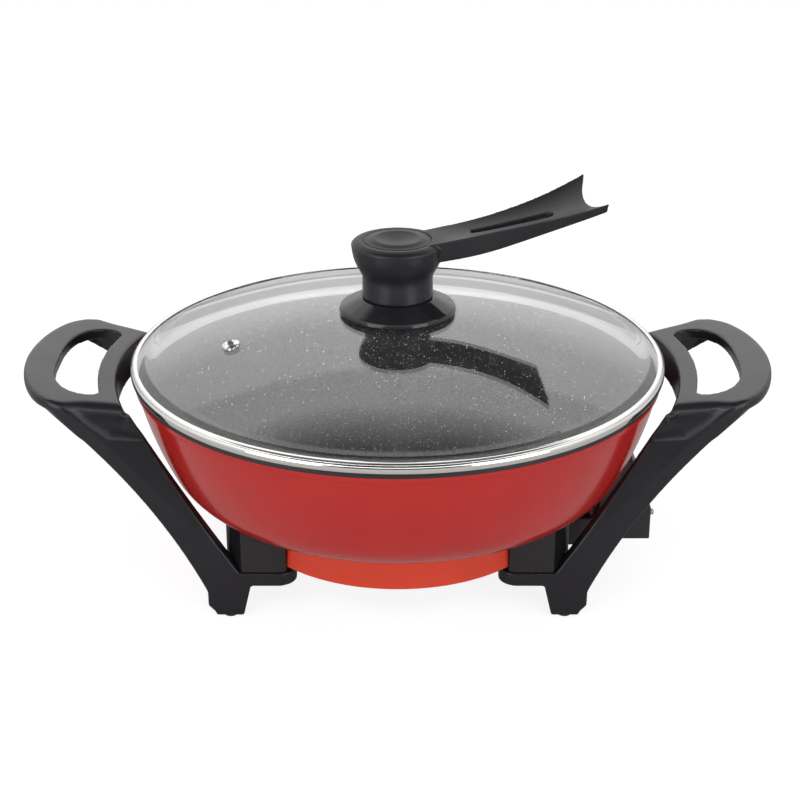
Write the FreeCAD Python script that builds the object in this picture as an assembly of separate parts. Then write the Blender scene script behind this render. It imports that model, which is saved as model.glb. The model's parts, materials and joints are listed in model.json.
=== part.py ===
import FreeCAD, Part
import math
import os

# Electric wok with a lift-off glass lid. Millimetres, +Z up.
# The origin is on the table, under the centre of the bowl; the two handles lie along X.

V = FreeCAD.Vector
UP = V(0, 0, 1)
ORIGIN = V(0, 0, 0)

EYE = 0.3                    # gap between pieces that only lie near each other
SNUG = 0.05                  # gap round a piece that is pressed, screwed or brazed in
PAST = 1.0                   # how much further a cut runs than the piece it cuts
ABOVE = 200.0                # higher than every piece below the lid
FAR_ABOVE = 300.0            # higher than everything

# ---- bowl ----
BOWL_FLOOR_Z = 64.7          # height of the underside of the flat floor
BOWL_FLAT_R = 111.5          # radius where the floor starts to curve up
SHOULDER_R = 41.0            # radius of the tight curve between floor and side
SHOULDER_TURN = 64.0         # degrees of that curve
SIDE_R = 231.0               # radius of the long curve of the side
SIDE_END_TURN = 78.0         # slope of the side at the mouth, in degrees
BOWL_WALL = 3.2
SHOULDER_SLOPE = math.radians(SHOULDER_TURN)
SIDE_SLOPE = math.radians(SIDE_END_TURN)
JOIN_R = BOWL_FLAT_R + SHOULDER_R * math.sin(SHOULDER_SLOPE)         # where the two curves meet
JOIN_Z = BOWL_FLOOR_Z + SHOULDER_R * (1 - math.cos(SHOULDER_SLOPE))
MOUTH_R = JOIN_R + SIDE_R * (math.sin(SIDE_SLOPE) - math.sin(SHOULDER_SLOPE))
MOUTH_Z = JOIN_Z + SIDE_R * (math.cos(SHOULDER_SLOPE) - math.cos(SIDE_SLOPE))
BEAD_OUT = 1.1               # how far the rim bead stands out from the mouth
BEAD_LAP = 1.0               # how far it reaches down over the side
BEAD_RISE = 5.5              # how far it stands up above the side
BEAD_CHAMFER = 1.0
BEAD_R = MOUTH_R + BEAD_OUT
BEAD_TOP_Z = MOUTH_Z + BEAD_RISE     # the lid's band rests just above this
LEDGE_DEPTH = 9.5            # height of the machined ledge inside the rim
LEDGE_STEP = 0.7             # each of the two small steps of the ledge

# ---- heater ----
SKIRT_INSET = 12.5           # how far in from the edge of the flat floor the ring stands
SKIRT_R = BOWL_FLAT_R - SKIRT_INSET
SKIRT_WALL = 2.5
SKIRT_LIP = 2.0              # how far the ring is drawn in under the bowl
PLATE_GAP = 8.5              # between heater plate and ring
PLATE_R = SKIRT_R - SKIRT_WALL - PLATE_GAP
PLATE_T = 7.0
PLATE_UNDER_Z = BOWL_FLOOR_Z - SNUG - PLATE_T
ELEMENT_R = 3.25             # radius of the element's tube
ELEMENT_INSET = 26.0         # from the plate's edge in to the centre line of the loop
ELEMENT_LOOP_R = PLATE_R - ELEMENT_INSET
ELEMENT_SUNK = 0.35          # how far the loop's centre line lies above the plate's underside
ELEMENT_LOOP_Z = PLATE_UNDER_Z + ELEMENT_SUNK
ELEMENT_BEND_R = 14.0
LEAD_DROP_R = 7.0            # each lead steps down in two quarter bends of this radius
PIN_Z = ELEMENT_LOOP_Z - 2 * LEAD_DROP_R
SKIRT_BELOW_PINS = 10.2      # how far the ring and the cover reach down below the pins
SKIRT_BOTTOM_Z = PIN_Z - SKIRT_BELOW_PINS
PROBE_SLEEVE_R = 5.0
PROBE_BORE_R = 4.0
PROBE_BOSS_INSET = 2.0       # the block that holds the probe sleeve, in from the plate's edge
PROBE_BOSS_LENGTH = 18.0
PROBE_BOSS_HALF_WIDTH = 8.0
PROBE_BOSS_WALL = 2.5        # under the sleeve
PROBE_BOSS_END_WALL = 4.0    # behind the sleeve
PROBE_BOSS_END_X = PLATE_R - PROBE_BOSS_INSET
PROBE_BOSS_START_X = PROBE_BOSS_END_X - PROBE_BOSS_LENGTH
COVER_T = 1.2
COVER_POST_RING_R = 40.0
COVER_POST_R = 4.5
COVER_POST_FIRST = 60.0      # degrees
COVER_SCREW_R = 1.5
COVER_SCREW_HEAD_R = 3.2
COVER_SCREW_HEAD_H = 1.8
COVER_SCREW_LENGTH = 13.2
COVER_SCREW_TIP_Z = SKIRT_BOTTOM_Z + COVER_SCREW_LENGTH
COVER_SCREW_COUNT = 3
COVER_HOLE_COUNT = 5
COVER_HOLE_R = 4.0
COVER_HOLE_RING_R = 70.0
COVER_HOLE_FIRST = 30.0      # degrees
SCREW_SLOT_HALF_WIDTH = 0.5
SCREW_SLOT_SHARE = 0.4       # depth of the slot as a share of the head
SCREW_EDGE = 0.5             # chamfer on screw heads and tips
THREAD_END = 1.0             # how much deeper a tapped hole is than its screw

# ---- connector ----
HOUSING_GAP = 5.0            # between ring and housing
HOUSING_INNER_X = SKIRT_R + HOUSING_GAP
HOUSING_BACK_LENGTH = 24.0   # from there to the web that carries beads and sleeve
HOUSING_BACK_WALL_X = HOUSING_INNER_X + HOUSING_BACK_LENGTH
HOUSING_WEB_T = 4.0
SOCKET_DEPTH = 37.0          # from the web to the mouth
HOUSING_MOUTH_X = HOUSING_BACK_WALL_X + SOCKET_DEPTH
HOUSING_NOSE = 13.0          # how far the mouth stands out from under the peak
HOUSING_PEAK_X = HOUSING_MOUTH_X - HOUSING_NOSE
HOUSING_STEP_BACK = 6.0      # how far before the web the floor starts to step up
HOUSING_STEP_X = HOUSING_BACK_WALL_X - HOUSING_STEP_BACK
HOUSING_STEP_RUN = 4.0
HOUSING_LOW_DROP = 19.0      # heights below and above the centre line of the pins
HOUSING_FLOOR_DROP = 14.5
HOUSING_MOUTH_RISE = 8.0
HOUSING_WEB_RISE = 17.0
HOUSING_PEAK_RISE = 42.0
HOUSING_LOW_Z = PIN_Z - HOUSING_LOW_DROP
HOUSING_FLOOR_Z = PIN_Z - HOUSING_FLOOR_DROP
HOUSING_MOUTH_TOP_Z = PIN_Z + HOUSING_MOUTH_RISE
HOUSING_WALL = 3.0
HOUSING_DIP_REACH = 3.0      # how far past the web's face the side walls are low, so that air can pass
HOUSING_DIP_CORNER_R = 9.0
PIN_R = 2.0                  # free part of each terminal pin
PIN_NECK_R = 1.7             # the part inside its ceramic bead
PIN_HALF_SPACING = 13.0
PIN_OUT = 3.5                # how far the pins stand out of the mouth
PIN_TIP_X = HOUSING_MOUTH_X + PIN_OUT
PIN_CHAMFER = 0.8
ELEMENT_SHORT = 2.0          # how far before the web the element ends and the beads begin
ELEMENT_END_X = HOUSING_BACK_WALL_X - ELEMENT_SHORT
BEAD_LENGTH = 6.0            # ceramic bead on each pin
BEAD_WALL = 1.2              # how much wider than the element's tube
PROBE_SLEEVE_START_X = PROBE_BOSS_START_X + PROBE_BOSS_END_WALL
PROBE_SLEEVE_OUT = 12.0      # how far the sleeve reaches past the web's face
PROBE_SLEEVE_END_X = HOUSING_BACK_WALL_X + PROBE_SLEEVE_OUT
PROBE_SLEEVE_END_WALL = 2.0
HOUSING_SIDE = 11.0          # from a pin's centre line to the outside of the housing
HOUSING_HALF_WIDTH = PIN_HALF_SPACING + HOUSING_SIDE
HOUSING_SCREW_INSET = 10.0   # from the housing's inner end
HOUSING_SCREW_X = HOUSING_INNER_X + HOUSING_SCREW_INSET
HOUSING_SCREW_SIDE = 6.6     # from a pin's centre line to the screw beside it
HOUSING_SCREW_Y = PIN_HALF_SPACING + HOUSING_SCREW_SIDE
HOUSING_SCREW_R = 1.5
HOUSING_SCREW_HEAD_R = 2.8
HOUSING_SCREW_HEAD_H = 1.8
HOUSING_SCREW_RISE = 16.0    # tip above the pins' centre line
HOUSING_SCREW_TIP_Z = PIN_Z + HOUSING_SCREW_RISE
HOUSING_POST_R = 3.2
HOUSING_POST_RISE = 8.0
HOUSING_POST_TOP_Z = PIN_Z + HOUSING_POST_RISE
BOWL_BOSS_R = 4.0            # bosses under the bowl for the housing's screws
EARTH_STRIP = ((0.0, 0.0), (28.0, 0.0), (28.0, 0.8), (20.0, 3.4), (15.0, 3.4), (6.0, 0.8), (0.0, 0.8))
EARTH_STRIP_HALF_WIDTH = 5.0

# ---- handle-and-leg mouldings (the left one is modelled, the right one mirrored) ----
FRAME_HALF_WIDTH = 74.0      # outside face of each arm
ARM_T = 10.0
RIM_GAP = 11.2               # from the rim bead to the loop's edge
RIM_GAP_R = BEAD_R + RIM_GAP
LOOP_BAR = 11.5              # width of the loop's bar beside the rim
LOOP_T = 7.2
# distance out from the rim bead, and height above its top, along the loop's top surface
LOOP_TOP = ((-8.8, -6.5), (34.2, 1.1), (75.7, 4.4))
LOOP_NECK_INSET = 8.0        # in from the arms' outside faces, where the loop meets the rim-side edge
# distance out from the rim bead, and in from the arms' outside faces, round the loop's outline
LOOP_OUTLINE = ((35.2, 0.2), (49.2, 7.0), (58.7, 21.0), (66.6, 45.0))
LOOP_END = 69.7              # distance out at the middle of the loop's end
GRIP_HOLE_CORNER_INSET = 26.0
# the same two distances round the hole, from its corner beside the rim
GRIP_HOLE = ((22.7, 20.4), (31.2, 21.4), (39.7, 28.0), (45.4, 39.0), (48.4, 55.0))
GRIP_HOLE_END = 49.2
LOOP_FILLET = 2.4
WEB_T = 2.6                  # the wall that hangs from the loop's edge beside the rim
WEB_DROP = 24.0              # how far below the bead's top it reaches
# distance out from the rim bead, and height above its top, on the two edges of an arm
ARM_OUTER_TOP = (46.7, 0.0)
ARM_OUTER_ELBOW = (22.2, -25.3)
ARM_INNER_TOP = (2.2, 2.5)
ARM_BOWL_GAP = 1.4           # between arm and bowl, where the bowl's two curves meet
ARM_WIDTH = 26.6             # of the arm at that height
SCOOP_TOP = (32.7, -2.5)     # out from the bead and above its top, where the scooped face starts
SCOOP_FOOT = (-31.8, -73.0)  # the same, where it ends
SCOOP_DEPTH = 8.0
SCOOP_REACH = 160.0          # larger than the face that it cuts
SCOOP_CUT_DEPTH = 40.0
TONGUE_DROP = 2.8            # between ring and tongue
TONGUE_TOP_Z = SKIRT_BOTTOM_Z - TONGUE_DROP
TONGUE_T = 9.2
TONGUE_R = 12.0
TONGUE_REACH = 23.0          # how far in under the ring the centre of the tongue's round end lies
TONGUE_END_X = SKIRT_R - TONGUE_REACH
TONGUE_ROOT = 4.0            # how far the tongue runs into the foot
FOOT_SETBACK = 1.3           # how far in from the ring's outside the sole starts
FOOT_INNER_X = SKIRT_R - FOOT_SETBACK
SOLE_LENGTH = 17.2
FOOT_OUTER_X = FOOT_INNER_X + SOLE_LENGTH
FOOT_NECK_SETBACK = 6.2
FOOT_NECK_X = SKIRT_R - FOOT_NECK_SETBACK
HEEL_OUT = 0.6               # how far out from the ring the arm's inner edge meets the tongue
TOE_OUT = 5.3                # how far the toe stands out from the sole
TOE_X = FOOT_OUTER_X + TOE_OUT
TOE_EDGE = 0.4
TOE_TOP_Z = 18.5
TOE_TOP_DROP = 1.5
TOE_LOW_Z = 8.0
TOE_BOTTOM_Z = 3.5
TOE_SLOPE = 1.0
PAD_SHOW = 1.0               # how far the rubber pad stands out of the foot
PAD_DEPTH = 3.0
PAD_R = 4.2

# ---- riser blocks ----
RISER_INSET = 1.0            # how much smaller than the tongue
RISER_CHAMFER = 10.0
RISER_OUT = 9.0              # how far out from the ring the block reaches
RISER_OUTER_X = SKIRT_R + RISER_OUT
STUD_R = 4.5
STUD_GAP = 2.2               # between stud and ring
STUD_DROP = 12.7             # how far the stud reaches down below the bowl's floor
STUD_BOTTOM_Z = BOWL_FLOOR_Z - STUD_DROP
FRAME_SCREW_R = 2.5
FRAME_SCREW_HEAD_R = 4.4
FRAME_SCREW_HEAD_H = 3.0
FRAME_SCREW_GRIP = 8.0       # length of the screw inside the stud
FRAME_SCREW_TIP_Z = STUD_BOTTOM_Z + FRAME_SCREW_GRIP
FRAME_SCREW_INSET = 14.0     # in from the arm's outside face
FRAME_SCREW_Y = FRAME_HALF_WIDTH - FRAME_SCREW_INSET
FRAME_SCREW_RING_R = SKIRT_R + STUD_GAP + STUD_R
FRAME_SCREW_X = math.sqrt(FRAME_SCREW_RING_R * FRAME_SCREW_RING_R - FRAME_SCREW_Y * FRAME_SCREW_Y)

# ---- lid ----
LID_OVERHANG = 2.2           # how far the lid stands out past the bead
LID_R = BEAD_R + LID_OVERHANG
BAND_H = 8.2
BAND_BOTTOM_Z = BEAD_TOP_Z + EYE
BAND_TOP_Z = BAND_BOTTOM_Z + BAND_H
BAND_T = 0.8
BAND_LIP = 4.6
BAND_FLANGE = 5.4
BAND_ROUND = 2.4
GLASS_T = 3.6
GLASS_EDGE_CHAMFER = 1.5
DOME_EDGE = 0.4              # flat strip of glass that shows inside the band's lip
DOME_R = LID_R - BAND_LIP - DOME_EDGE
DOME_RISE = 26.6
DOME_TOP_Z = BAND_TOP_Z + DOME_RISE
VENT_X = -103.5
VENT_Y = -32.0
VENT_HOLE_R = 2.0
VENT_TUBE_R = 3.4
VENT_FLANGE_R = 5.5
VENT_INNER_FLANGE_R = 4.5
VENT_FLANGE_T = 0.8
VENT_TOP_RISE = 0.6
VENT_EDGE = 0.6              # bevel of the outer flange
VENT_LIP = 1.2               # width of the raised rim round the hole
VENT_LIP_DROP = 0.5          # how far its inner edge falls

# ---- knob ----
FLANGE_R = 37.0
FLANGE_H = 9.2               # from the top of the dome to the foot of the column
FLANGE_TOP_Z = DOME_TOP_Z + FLANGE_H
FLANGE_WALL = 3.0
FLANGE_BOSS_R = 9.0
FLANGE_WAIST_IN = 6.0        # half way down its curved side, in from the edge
FLANGE_WAIST_DROP = 3.6
FLANGE_SKIN = (2.2, 2.8)     # the inner curve at the waist, in and down from the outer one
FLANGE_SHOULDER_WALL = 2.0
FLANGE_EDGE_H = 2.2
FLANGE_EDGE_BEVEL = 0.6
FLANGE_GLASS_GAP = 0.15
COLUMN_R = 22.3
COLUMN_SEAT = 1.3            # how far the flange's flat top reaches out past the column
FLANGE_TOP_R = COLUMN_R + COLUMN_SEAT
COLUMN_H = 14.8
COLUMN_EDGE = 0.4            # chamfer at the column's foot
CONE_START_Z = FLANGE_TOP_Z + COLUMN_H
CONE_H = 19.4                # the cup that widens from the column to the head's edge
CONE_BULGE = (2.4, 8.2)      # its middle: in from the edge, and up from the column
HEAD_EDGE_Z = CONE_START_Z + CONE_H
HEAD_ROUND_H = 2.5
HEAD_TOP_Z = HEAD_EDGE_Z + HEAD_ROUND_H
HEAD_FLARE = 6.9             # how much wider the head is than the column
HEAD_R = COLUMN_R + HEAD_FLARE
HEAD_UNDER = (0.3, 2.0)      # in and down from the head's widest edge
HEAD_CROWN = (1.7, 0.9)      # in from the widest edge and down from the top
HEAD_CROWN_END = 4.4
CAP_INSET = 8.0
CAP_R = HEAD_R - CAP_INSET
CAP_T = 3.0
CAP_RISE = 1.4
CAP_EDGE_DROP = 0.4
CAP_RING = 1.0               # flat ring round the dish
DISH_INSET = 8.0
DISH_R = CAP_R - DISH_INSET
DISH_DEPTH = 2.6
GRIP_ANGLE = 7.7             # the grip points this far behind +X
NOTCH_S = 119.4              # where the hollow between the two tips is deepest
SLOT_START = 46.4
SLOT_END = 98.7
SLOT_START_HALF_WIDTH = 3.0
SLOT_END_HALF_WIDTH = 4.6
KNOB_SCREW_R = 2.5
KNOB_SCREW_HEAD_R = 5.0
KNOB_SCREW_HEAD_H = 3.0
INSERT_R = 4.5
INSERT_LENGTH = 16.0
INSERT_END_WALL = 1.5
WASHER_R = 11.0
WASHER_T = 1.2
GASKET_T = 1.2
GLASS_HOLE_R = 4.2

# grip sections: distance along the grip, half width, height of the edges above the head's top,
# depth of the channel, thickness at the edge, thickness in the middle
GRIP_SECTIONS = (
    (11.8, 15.6, -0.8, 0.1, 13.0, 13.6),
    (29.6, 16.0, 2.3, 0.6, 13.0, 13.6),
    (47.4, 16.4, 5.6, 2.2, 13.4, 11.8),
    (71.1, 19.2, 10.9, 3.6, 11.4, 9.4),
    (90.8, 23.6, 16.1, 5.0, 8.6, 7.4),
    (108.6, 28.8, 21.8, 6.0, 6.6, 5.8),
    (129.3, 35.3, 30.1, 7.0, 5.2, 4.8),
)
GRIP_EDGE_DRAFT = 1.5        # how far the lower edges are drawn in
TIP_S = 126.2                # how far along the grip the two tips reach
GRIP_END_MARGIN = 5.0


def ring_face(points):
    """A face from a closed list of (radius, z) points in the XZ plane."""
    corners = [V(r, 0, z) for r, z in points]
    return Part.Face(Part.makePolygon(corners + [corners[0]]))


def turned(points):
    """A turned solid from (radius, z) points."""
    return ring_face(points).revolve(ORIGIN, UP, 360)


def turned_edges(edges):
    """A turned solid from edges in the XZ plane."""
    return Part.Face(Part.Wire(edges)).revolve(ORIGIN, UP, 360)


def cylinder(radius, z_low, z_high, x=0.0, y=0.0):
    return Part.makeCylinder(radius, z_high - z_low, V(x, y, z_low), UP)


def rod(radius, x_low, x_high, y, z):
    """A rod along X."""
    return Part.makeCylinder(radius, x_high - x_low, V(x_low, y, z), V(1, 0, 0))


def box(x_low, x_high, y_low, y_high, z_low, z_high):
    return Part.makeBox(x_high - x_low, y_high - y_low, z_high - z_low, V(x_low, y_low, z_low))


def line(a, b):
    return Part.LineSegment(a, b).toShape()


def arc(a, b, c):
    return Part.Arc(a, b, c).toShape()


def mirror_x(shape):
    return shape.mirror(ORIGIN, V(1, 0, 0))


def mirror_y(shape):
    return shape.mirror(ORIGIN, V(0, 1, 0))


def four_corners(shape):
    """A shape and its mirror images at the other three corners."""
    pair = [shape, mirror_y(shape)]
    return pair + [mirror_x(piece) for piece in pair]


def clean(shape):
    """One tidy solid out of a boolean result."""
    shape = shape.removeSplitter()
    if len(shape.Solids) == 1:
        return shape.Solids[0]
    return shape


# ---- the bowl's outline, used by everything that lies against it ----

def side_point(offset, slope):
    """Point of the bowl's outside at a slope, moved outward by offset."""
    shoulder = SHOULDER_R + offset
    low_slope = min(slope, SHOULDER_SLOPE)
    r = BOWL_FLAT_R + shoulder * math.sin(low_slope)
    z = BOWL_FLOOR_Z - offset + shoulder * (1 - math.cos(low_slope))
    if slope > SHOULDER_SLOPE:
        side = SIDE_R + offset
        r += side * (math.sin(slope) - math.sin(SHOULDER_SLOPE))
        z += side * (math.cos(SHOULDER_SLOPE) - math.cos(slope))
    return V(r, 0, z)


def side_height(radius):
    """Height of the bowl's underside at a radius that lies under its shoulder."""
    if radius <= BOWL_FLAT_R:
        return BOWL_FLOOR_Z
    run = radius - BOWL_FLAT_R
    return BOWL_FLOOR_Z + SHOULDER_R - math.sqrt(SHOULDER_R * SHOULDER_R - run * run)


def bowl_body(offset):
    """Everything inside the bowl's outside surface, grown by offset."""
    flat = side_point(offset, 0.0)
    join = side_point(offset, SHOULDER_SLOPE)
    mouth = side_point(offset, SIDE_SLOPE)
    centre_low = V(0, 0, flat.z)
    centre_top = V(0, 0, BEAD_TOP_Z)
    mouth_top = V(mouth.x, 0, BEAD_TOP_Z)
    edges = [
        line(centre_low, flat),
        arc(flat, side_point(offset, 0.5 * SHOULDER_SLOPE), join),
        arc(join, side_point(offset, 0.5 * (SHOULDER_SLOPE + SIDE_SLOPE)), mouth),
        line(mouth, mouth_top),
        line(mouth_top, centre_top),
        line(centre_top, centre_low),
    ]
    return turned_edges(edges)


def bowl():
    ledge_r = MOUTH_R - BOWL_WALL
    bead_low = MOUTH_Z - BEAD_LAP
    bead = turned([
        (ledge_r, bead_low), (BEAD_R - BEAD_CHAMFER, bead_low), (BEAD_R, bead_low + BEAD_CHAMFER),
        (BEAD_R, BEAD_TOP_Z), (ledge_r, BEAD_TOP_Z),
    ])
    low = BEAD_TOP_Z - LEDGE_DEPTH
    step = LEDGE_STEP
    ledge = turned([
        (0, low), (ledge_r, low), (ledge_r + step, low + step), (ledge_r + step, low + 2 * step),
        (ledge_r + 2 * step, low + 3 * step), (ledge_r + 2 * step, BEAD_TOP_Z), (0, BEAD_TOP_Z),
    ])
    return clean(bowl_body(0.0).fuse(bead).cut(bowl_body(-BOWL_WALL)).cut(ledge))


# ---- under the bowl ----

def element_path():
    """Centre line of one half of the element: a lead, a bend and half the loop."""
    y = PIN_HALF_SPACING
    z = ELEMENT_LOOP_Z
    bend_y = y + ELEMENT_BEND_R
    reach = ELEMENT_LOOP_R + ELEMENT_BEND_R
    bend_x = math.sqrt(reach * reach - bend_y * bend_y)
    meet_x = bend_x * ELEMENT_LOOP_R / reach
    meet_y = bend_y * ELEMENT_LOOP_R / reach
    toward = V(bend_x - meet_x, bend_y - meet_y + ELEMENT_BEND_R, 0)
    toward.normalize()
    bend_mid = V(bend_x, bend_y, z) - toward * ELEMENT_BEND_R
    half_way = 0.5 * (math.atan2(meet_y, meet_x) + math.pi)
    loop_mid = V(ELEMENT_LOOP_R * math.cos(half_way), ELEMENT_LOOP_R * math.sin(half_way), z)
    drop = LEAD_DROP_R
    cut = drop * math.sqrt(0.5)
    low_x = bend_x + 2 * drop
    top = V(bend_x, y, z)
    middle = V(bend_x + drop, y, z - drop)
    low = V(low_x, y, PIN_Z)
    edges = [
        line(V(ELEMENT_END_X, y, PIN_Z), low),
        arc(low, V(low_x - cut, y, PIN_Z + drop - cut), middle),
        arc(middle, V(bend_x + cut, y, z - drop + cut), top),
        arc(top, bend_mid, V(meet_x, meet_y, z)),
        arc(V(meet_x, meet_y, z), loop_mid, V(-ELEMENT_LOOP_R, 0, z)),
    ]
    return Part.Wire(edges)


def element_tube(radius):
    """The element's bent tube, both halves, with the given radius."""
    ring = Part.Circle(V(ELEMENT_END_X, PIN_HALF_SPACING, PIN_Z), V(1, 0, 0), radius)
    half = element_path().makePipeShell([Part.Wire([ring.toShape()])], True, False)
    return clean(half.fuse(mirror_y(half)))


def ring_places(count, ring_r, first):
    """Evenly spaced places on a circle; first is the angle of the first one in degrees."""
    places = []
    for i in range(count):
        turn = math.radians(first + 360.0 * i / count)
        places.append((ring_r * math.cos(turn), ring_r * math.sin(turn)))
    return places


def cover_screw_places():
    return ring_places(COVER_SCREW_COUNT, COVER_POST_RING_R, COVER_POST_FIRST)


def heater_plate():
    plate = cylinder(PLATE_R, PLATE_UNDER_Z, BOWL_FLOOR_Z - SNUG)
    for x, y in cover_screw_places():
        plate = plate.fuse(cylinder(COVER_POST_R, SKIRT_BOTTOM_Z + COVER_T + SNUG, PLATE_UNDER_Z, x, y))
    half = PROBE_BOSS_HALF_WIDTH
    low = PIN_Z - PROBE_SLEEVE_R - PROBE_BOSS_WALL
    plate = plate.fuse(box(PROBE_BOSS_START_X, PROBE_BOSS_END_X, -half, half, low, PLATE_UNDER_Z))
    plate = plate.cut(element_tube(ELEMENT_R + SNUG))
    plate = plate.cut(rod(PROBE_SLEEVE_R + SNUG, PROBE_SLEEVE_START_X - SNUG, SKIRT_R, 0, PIN_Z))
    for x, y in cover_screw_places():
        plate = plate.cut(cylinder(COVER_SCREW_R + SNUG, 0, COVER_SCREW_TIP_Z + THREAD_END, x, y))
    return clean(plate)


def skirt_ring():
    inner = SKIRT_R - SKIRT_WALL
    lip = SKIRT_LIP
    top_z = BOWL_FLOOR_Z - SNUG
    ring = turned([
        (inner, SKIRT_BOTTOM_Z), (SKIRT_R - 0.5 * lip, SKIRT_BOTTOM_Z),
        (SKIRT_R, SKIRT_BOTTOM_Z + 0.5 * lip), (SKIRT_R - lip, top_z), (inner - lip, top_z),
        (inner - lip, top_z - SKIRT_WALL), (inner, top_z - SKIRT_WALL - lip),
    ])
    for y in (PIN_HALF_SPACING, -PIN_HALF_SPACING):
        ring = ring.cut(rod(ELEMENT_R + EYE, 0, SKIRT_R + EYE, y, PIN_Z))
    return clean(ring.cut(rod(PROBE_SLEEVE_R + EYE, 0, SKIRT_R + EYE, 0, PIN_Z)))


def base_cover():
    top = SKIRT_BOTTOM_Z + COVER_T
    cover = cylinder(SKIRT_R - SKIRT_WALL - EYE, SKIRT_BOTTOM_Z, top)
    for x, y in cover_screw_places():
        cover = cover.cut(cylinder(COVER_SCREW_R + EYE, 0, top + THREAD_END, x, y))
    for x, y in ring_places(COVER_HOLE_COUNT, COVER_HOLE_RING_R, COVER_HOLE_FIRST):
        cover = cover.cut(cylinder(COVER_HOLE_R, 0, top + THREAD_END, x, y))
    return clean(cover)


def screw(radius, head_radius, head_height, z_head, z_tip, x, y):
    """A slotted screw that stands upright with its head at the bottom."""
    low = z_head - head_height
    edge = SCREW_EDGE
    body = turned([
        (0, low), (head_radius - edge, low), (head_radius, low + edge), (head_radius, z_head),
        (radius, z_head), (radius, z_tip - edge), (radius - edge, z_tip), (0, z_tip),
    ])
    body.translate(V(x, y, 0))
    half = SCREW_SLOT_HALF_WIDTH
    deep = SCREW_SLOT_SHARE * head_height
    slot = box(x - head_radius, x + head_radius, y - half, y + half, low - half, low + deep)
    return clean(body.cut(slot))


def cover_screws():
    screws = []
    for x, y in cover_screw_places():
        screws.append(screw(COVER_SCREW_R, COVER_SCREW_HEAD_R, COVER_SCREW_HEAD_H, SKIRT_BOTTOM_Z,
                            COVER_SCREW_TIP_Z, x, y))
    return Part.makeCompound(screws)


# ---- connector ----

def terminal_pins():
    pins = []
    for y in (PIN_HALF_SPACING, -PIN_HALF_SPACING):
        neck_end = ELEMENT_END_X + BEAD_LENGTH + 2 * SNUG
        neck = rod(PIN_NECK_R, ELEMENT_END_X + SNUG, neck_end, y, PIN_Z)
        pin = rod(PIN_R, neck_end, PIN_TIP_X, y, PIN_Z)
        tip = max(pin.Edges, key=lambda edge: edge.CenterOfMass.x)
        pins.append(clean(pin.makeChamfer(PIN_CHAMFER, [tip]).fuse(neck)))
    return Part.makeCompound(pins)


def ceramic_beads():
    start = ELEMENT_END_X + SNUG
    beads = []
    for y in (PIN_HALF_SPACING, -PIN_HALF_SPACING):
        bead = rod(ELEMENT_R + BEAD_WALL, start, start + BEAD_LENGTH, y, PIN_Z)
        bore = rod(PIN_NECK_R + SNUG, start - PAST, start + BEAD_LENGTH + PAST, y, PIN_Z)
        beads.append(clean(bead.cut(bore)))
    return Part.makeCompound(beads)


def probe_sleeve():
    start = PROBE_SLEEVE_START_X
    sleeve = rod(PROBE_SLEEVE_R, start, PROBE_SLEEVE_END_X, 0, PIN_Z)
    bore = rod(PROBE_BORE_R, start + PROBE_SLEEVE_END_WALL, PROBE_SLEEVE_END_X + PAST, 0, PIN_Z)
    return clean(sleeve.cut(bore))


def housing_side(inset):
    """Side view of the connector housing, drawn in by inset."""
    peak_z = PIN_Z + HOUSING_PEAK_RISE - inset
    step_end = HOUSING_STEP_X + HOUSING_STEP_RUN
    return [
        (HOUSING_INNER_X + inset, HOUSING_LOW_Z + inset),
        (HOUSING_STEP_X - inset, HOUSING_LOW_Z + inset),
        (step_end - inset, HOUSING_FLOOR_Z + inset),
        (HOUSING_MOUTH_X, HOUSING_FLOOR_Z + inset),
        (HOUSING_MOUTH_X, HOUSING_MOUTH_TOP_Z - inset),
        (HOUSING_PEAK_X - inset, peak_z),
        (HOUSING_INNER_X + inset, peak_z),
    ]


def side_prism(points, y_low, y_high):
    """A solid from (x, z) points, drawn from y_low to y_high."""
    corners = [V(x, y_low, z) for x, z in points]
    face = Part.Face(Part.makePolygon(corners + [corners[0]]))
    return face.extrude(V(0, y_high - y_low, 0))


def housing_screw_places():
    return [(HOUSING_SCREW_X, HOUSING_SCREW_Y), (HOUSING_SCREW_X, -HOUSING_SCREW_Y)]


def housing_dip():
    """The space beside the skirt ring where the housing's walls are low."""
    half = HOUSING_HALF_WIDTH
    r = HOUSING_DIP_CORNER_R
    low = PIN_Z
    start = HOUSING_INNER_X - EYE
    end = HOUSING_BACK_WALL_X + HOUSING_DIP_REACH
    high_part = box(start, end, -half, half, low + r, ABOVE)
    low_part = box(start, end - r, -half, half, low, low + r)
    corner = Part.makeCylinder(r, 2 * half, V(end - r, -half, low + r), V(0, 1, 0))
    return high_part.fuse(low_part).fuse(corner)


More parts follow.
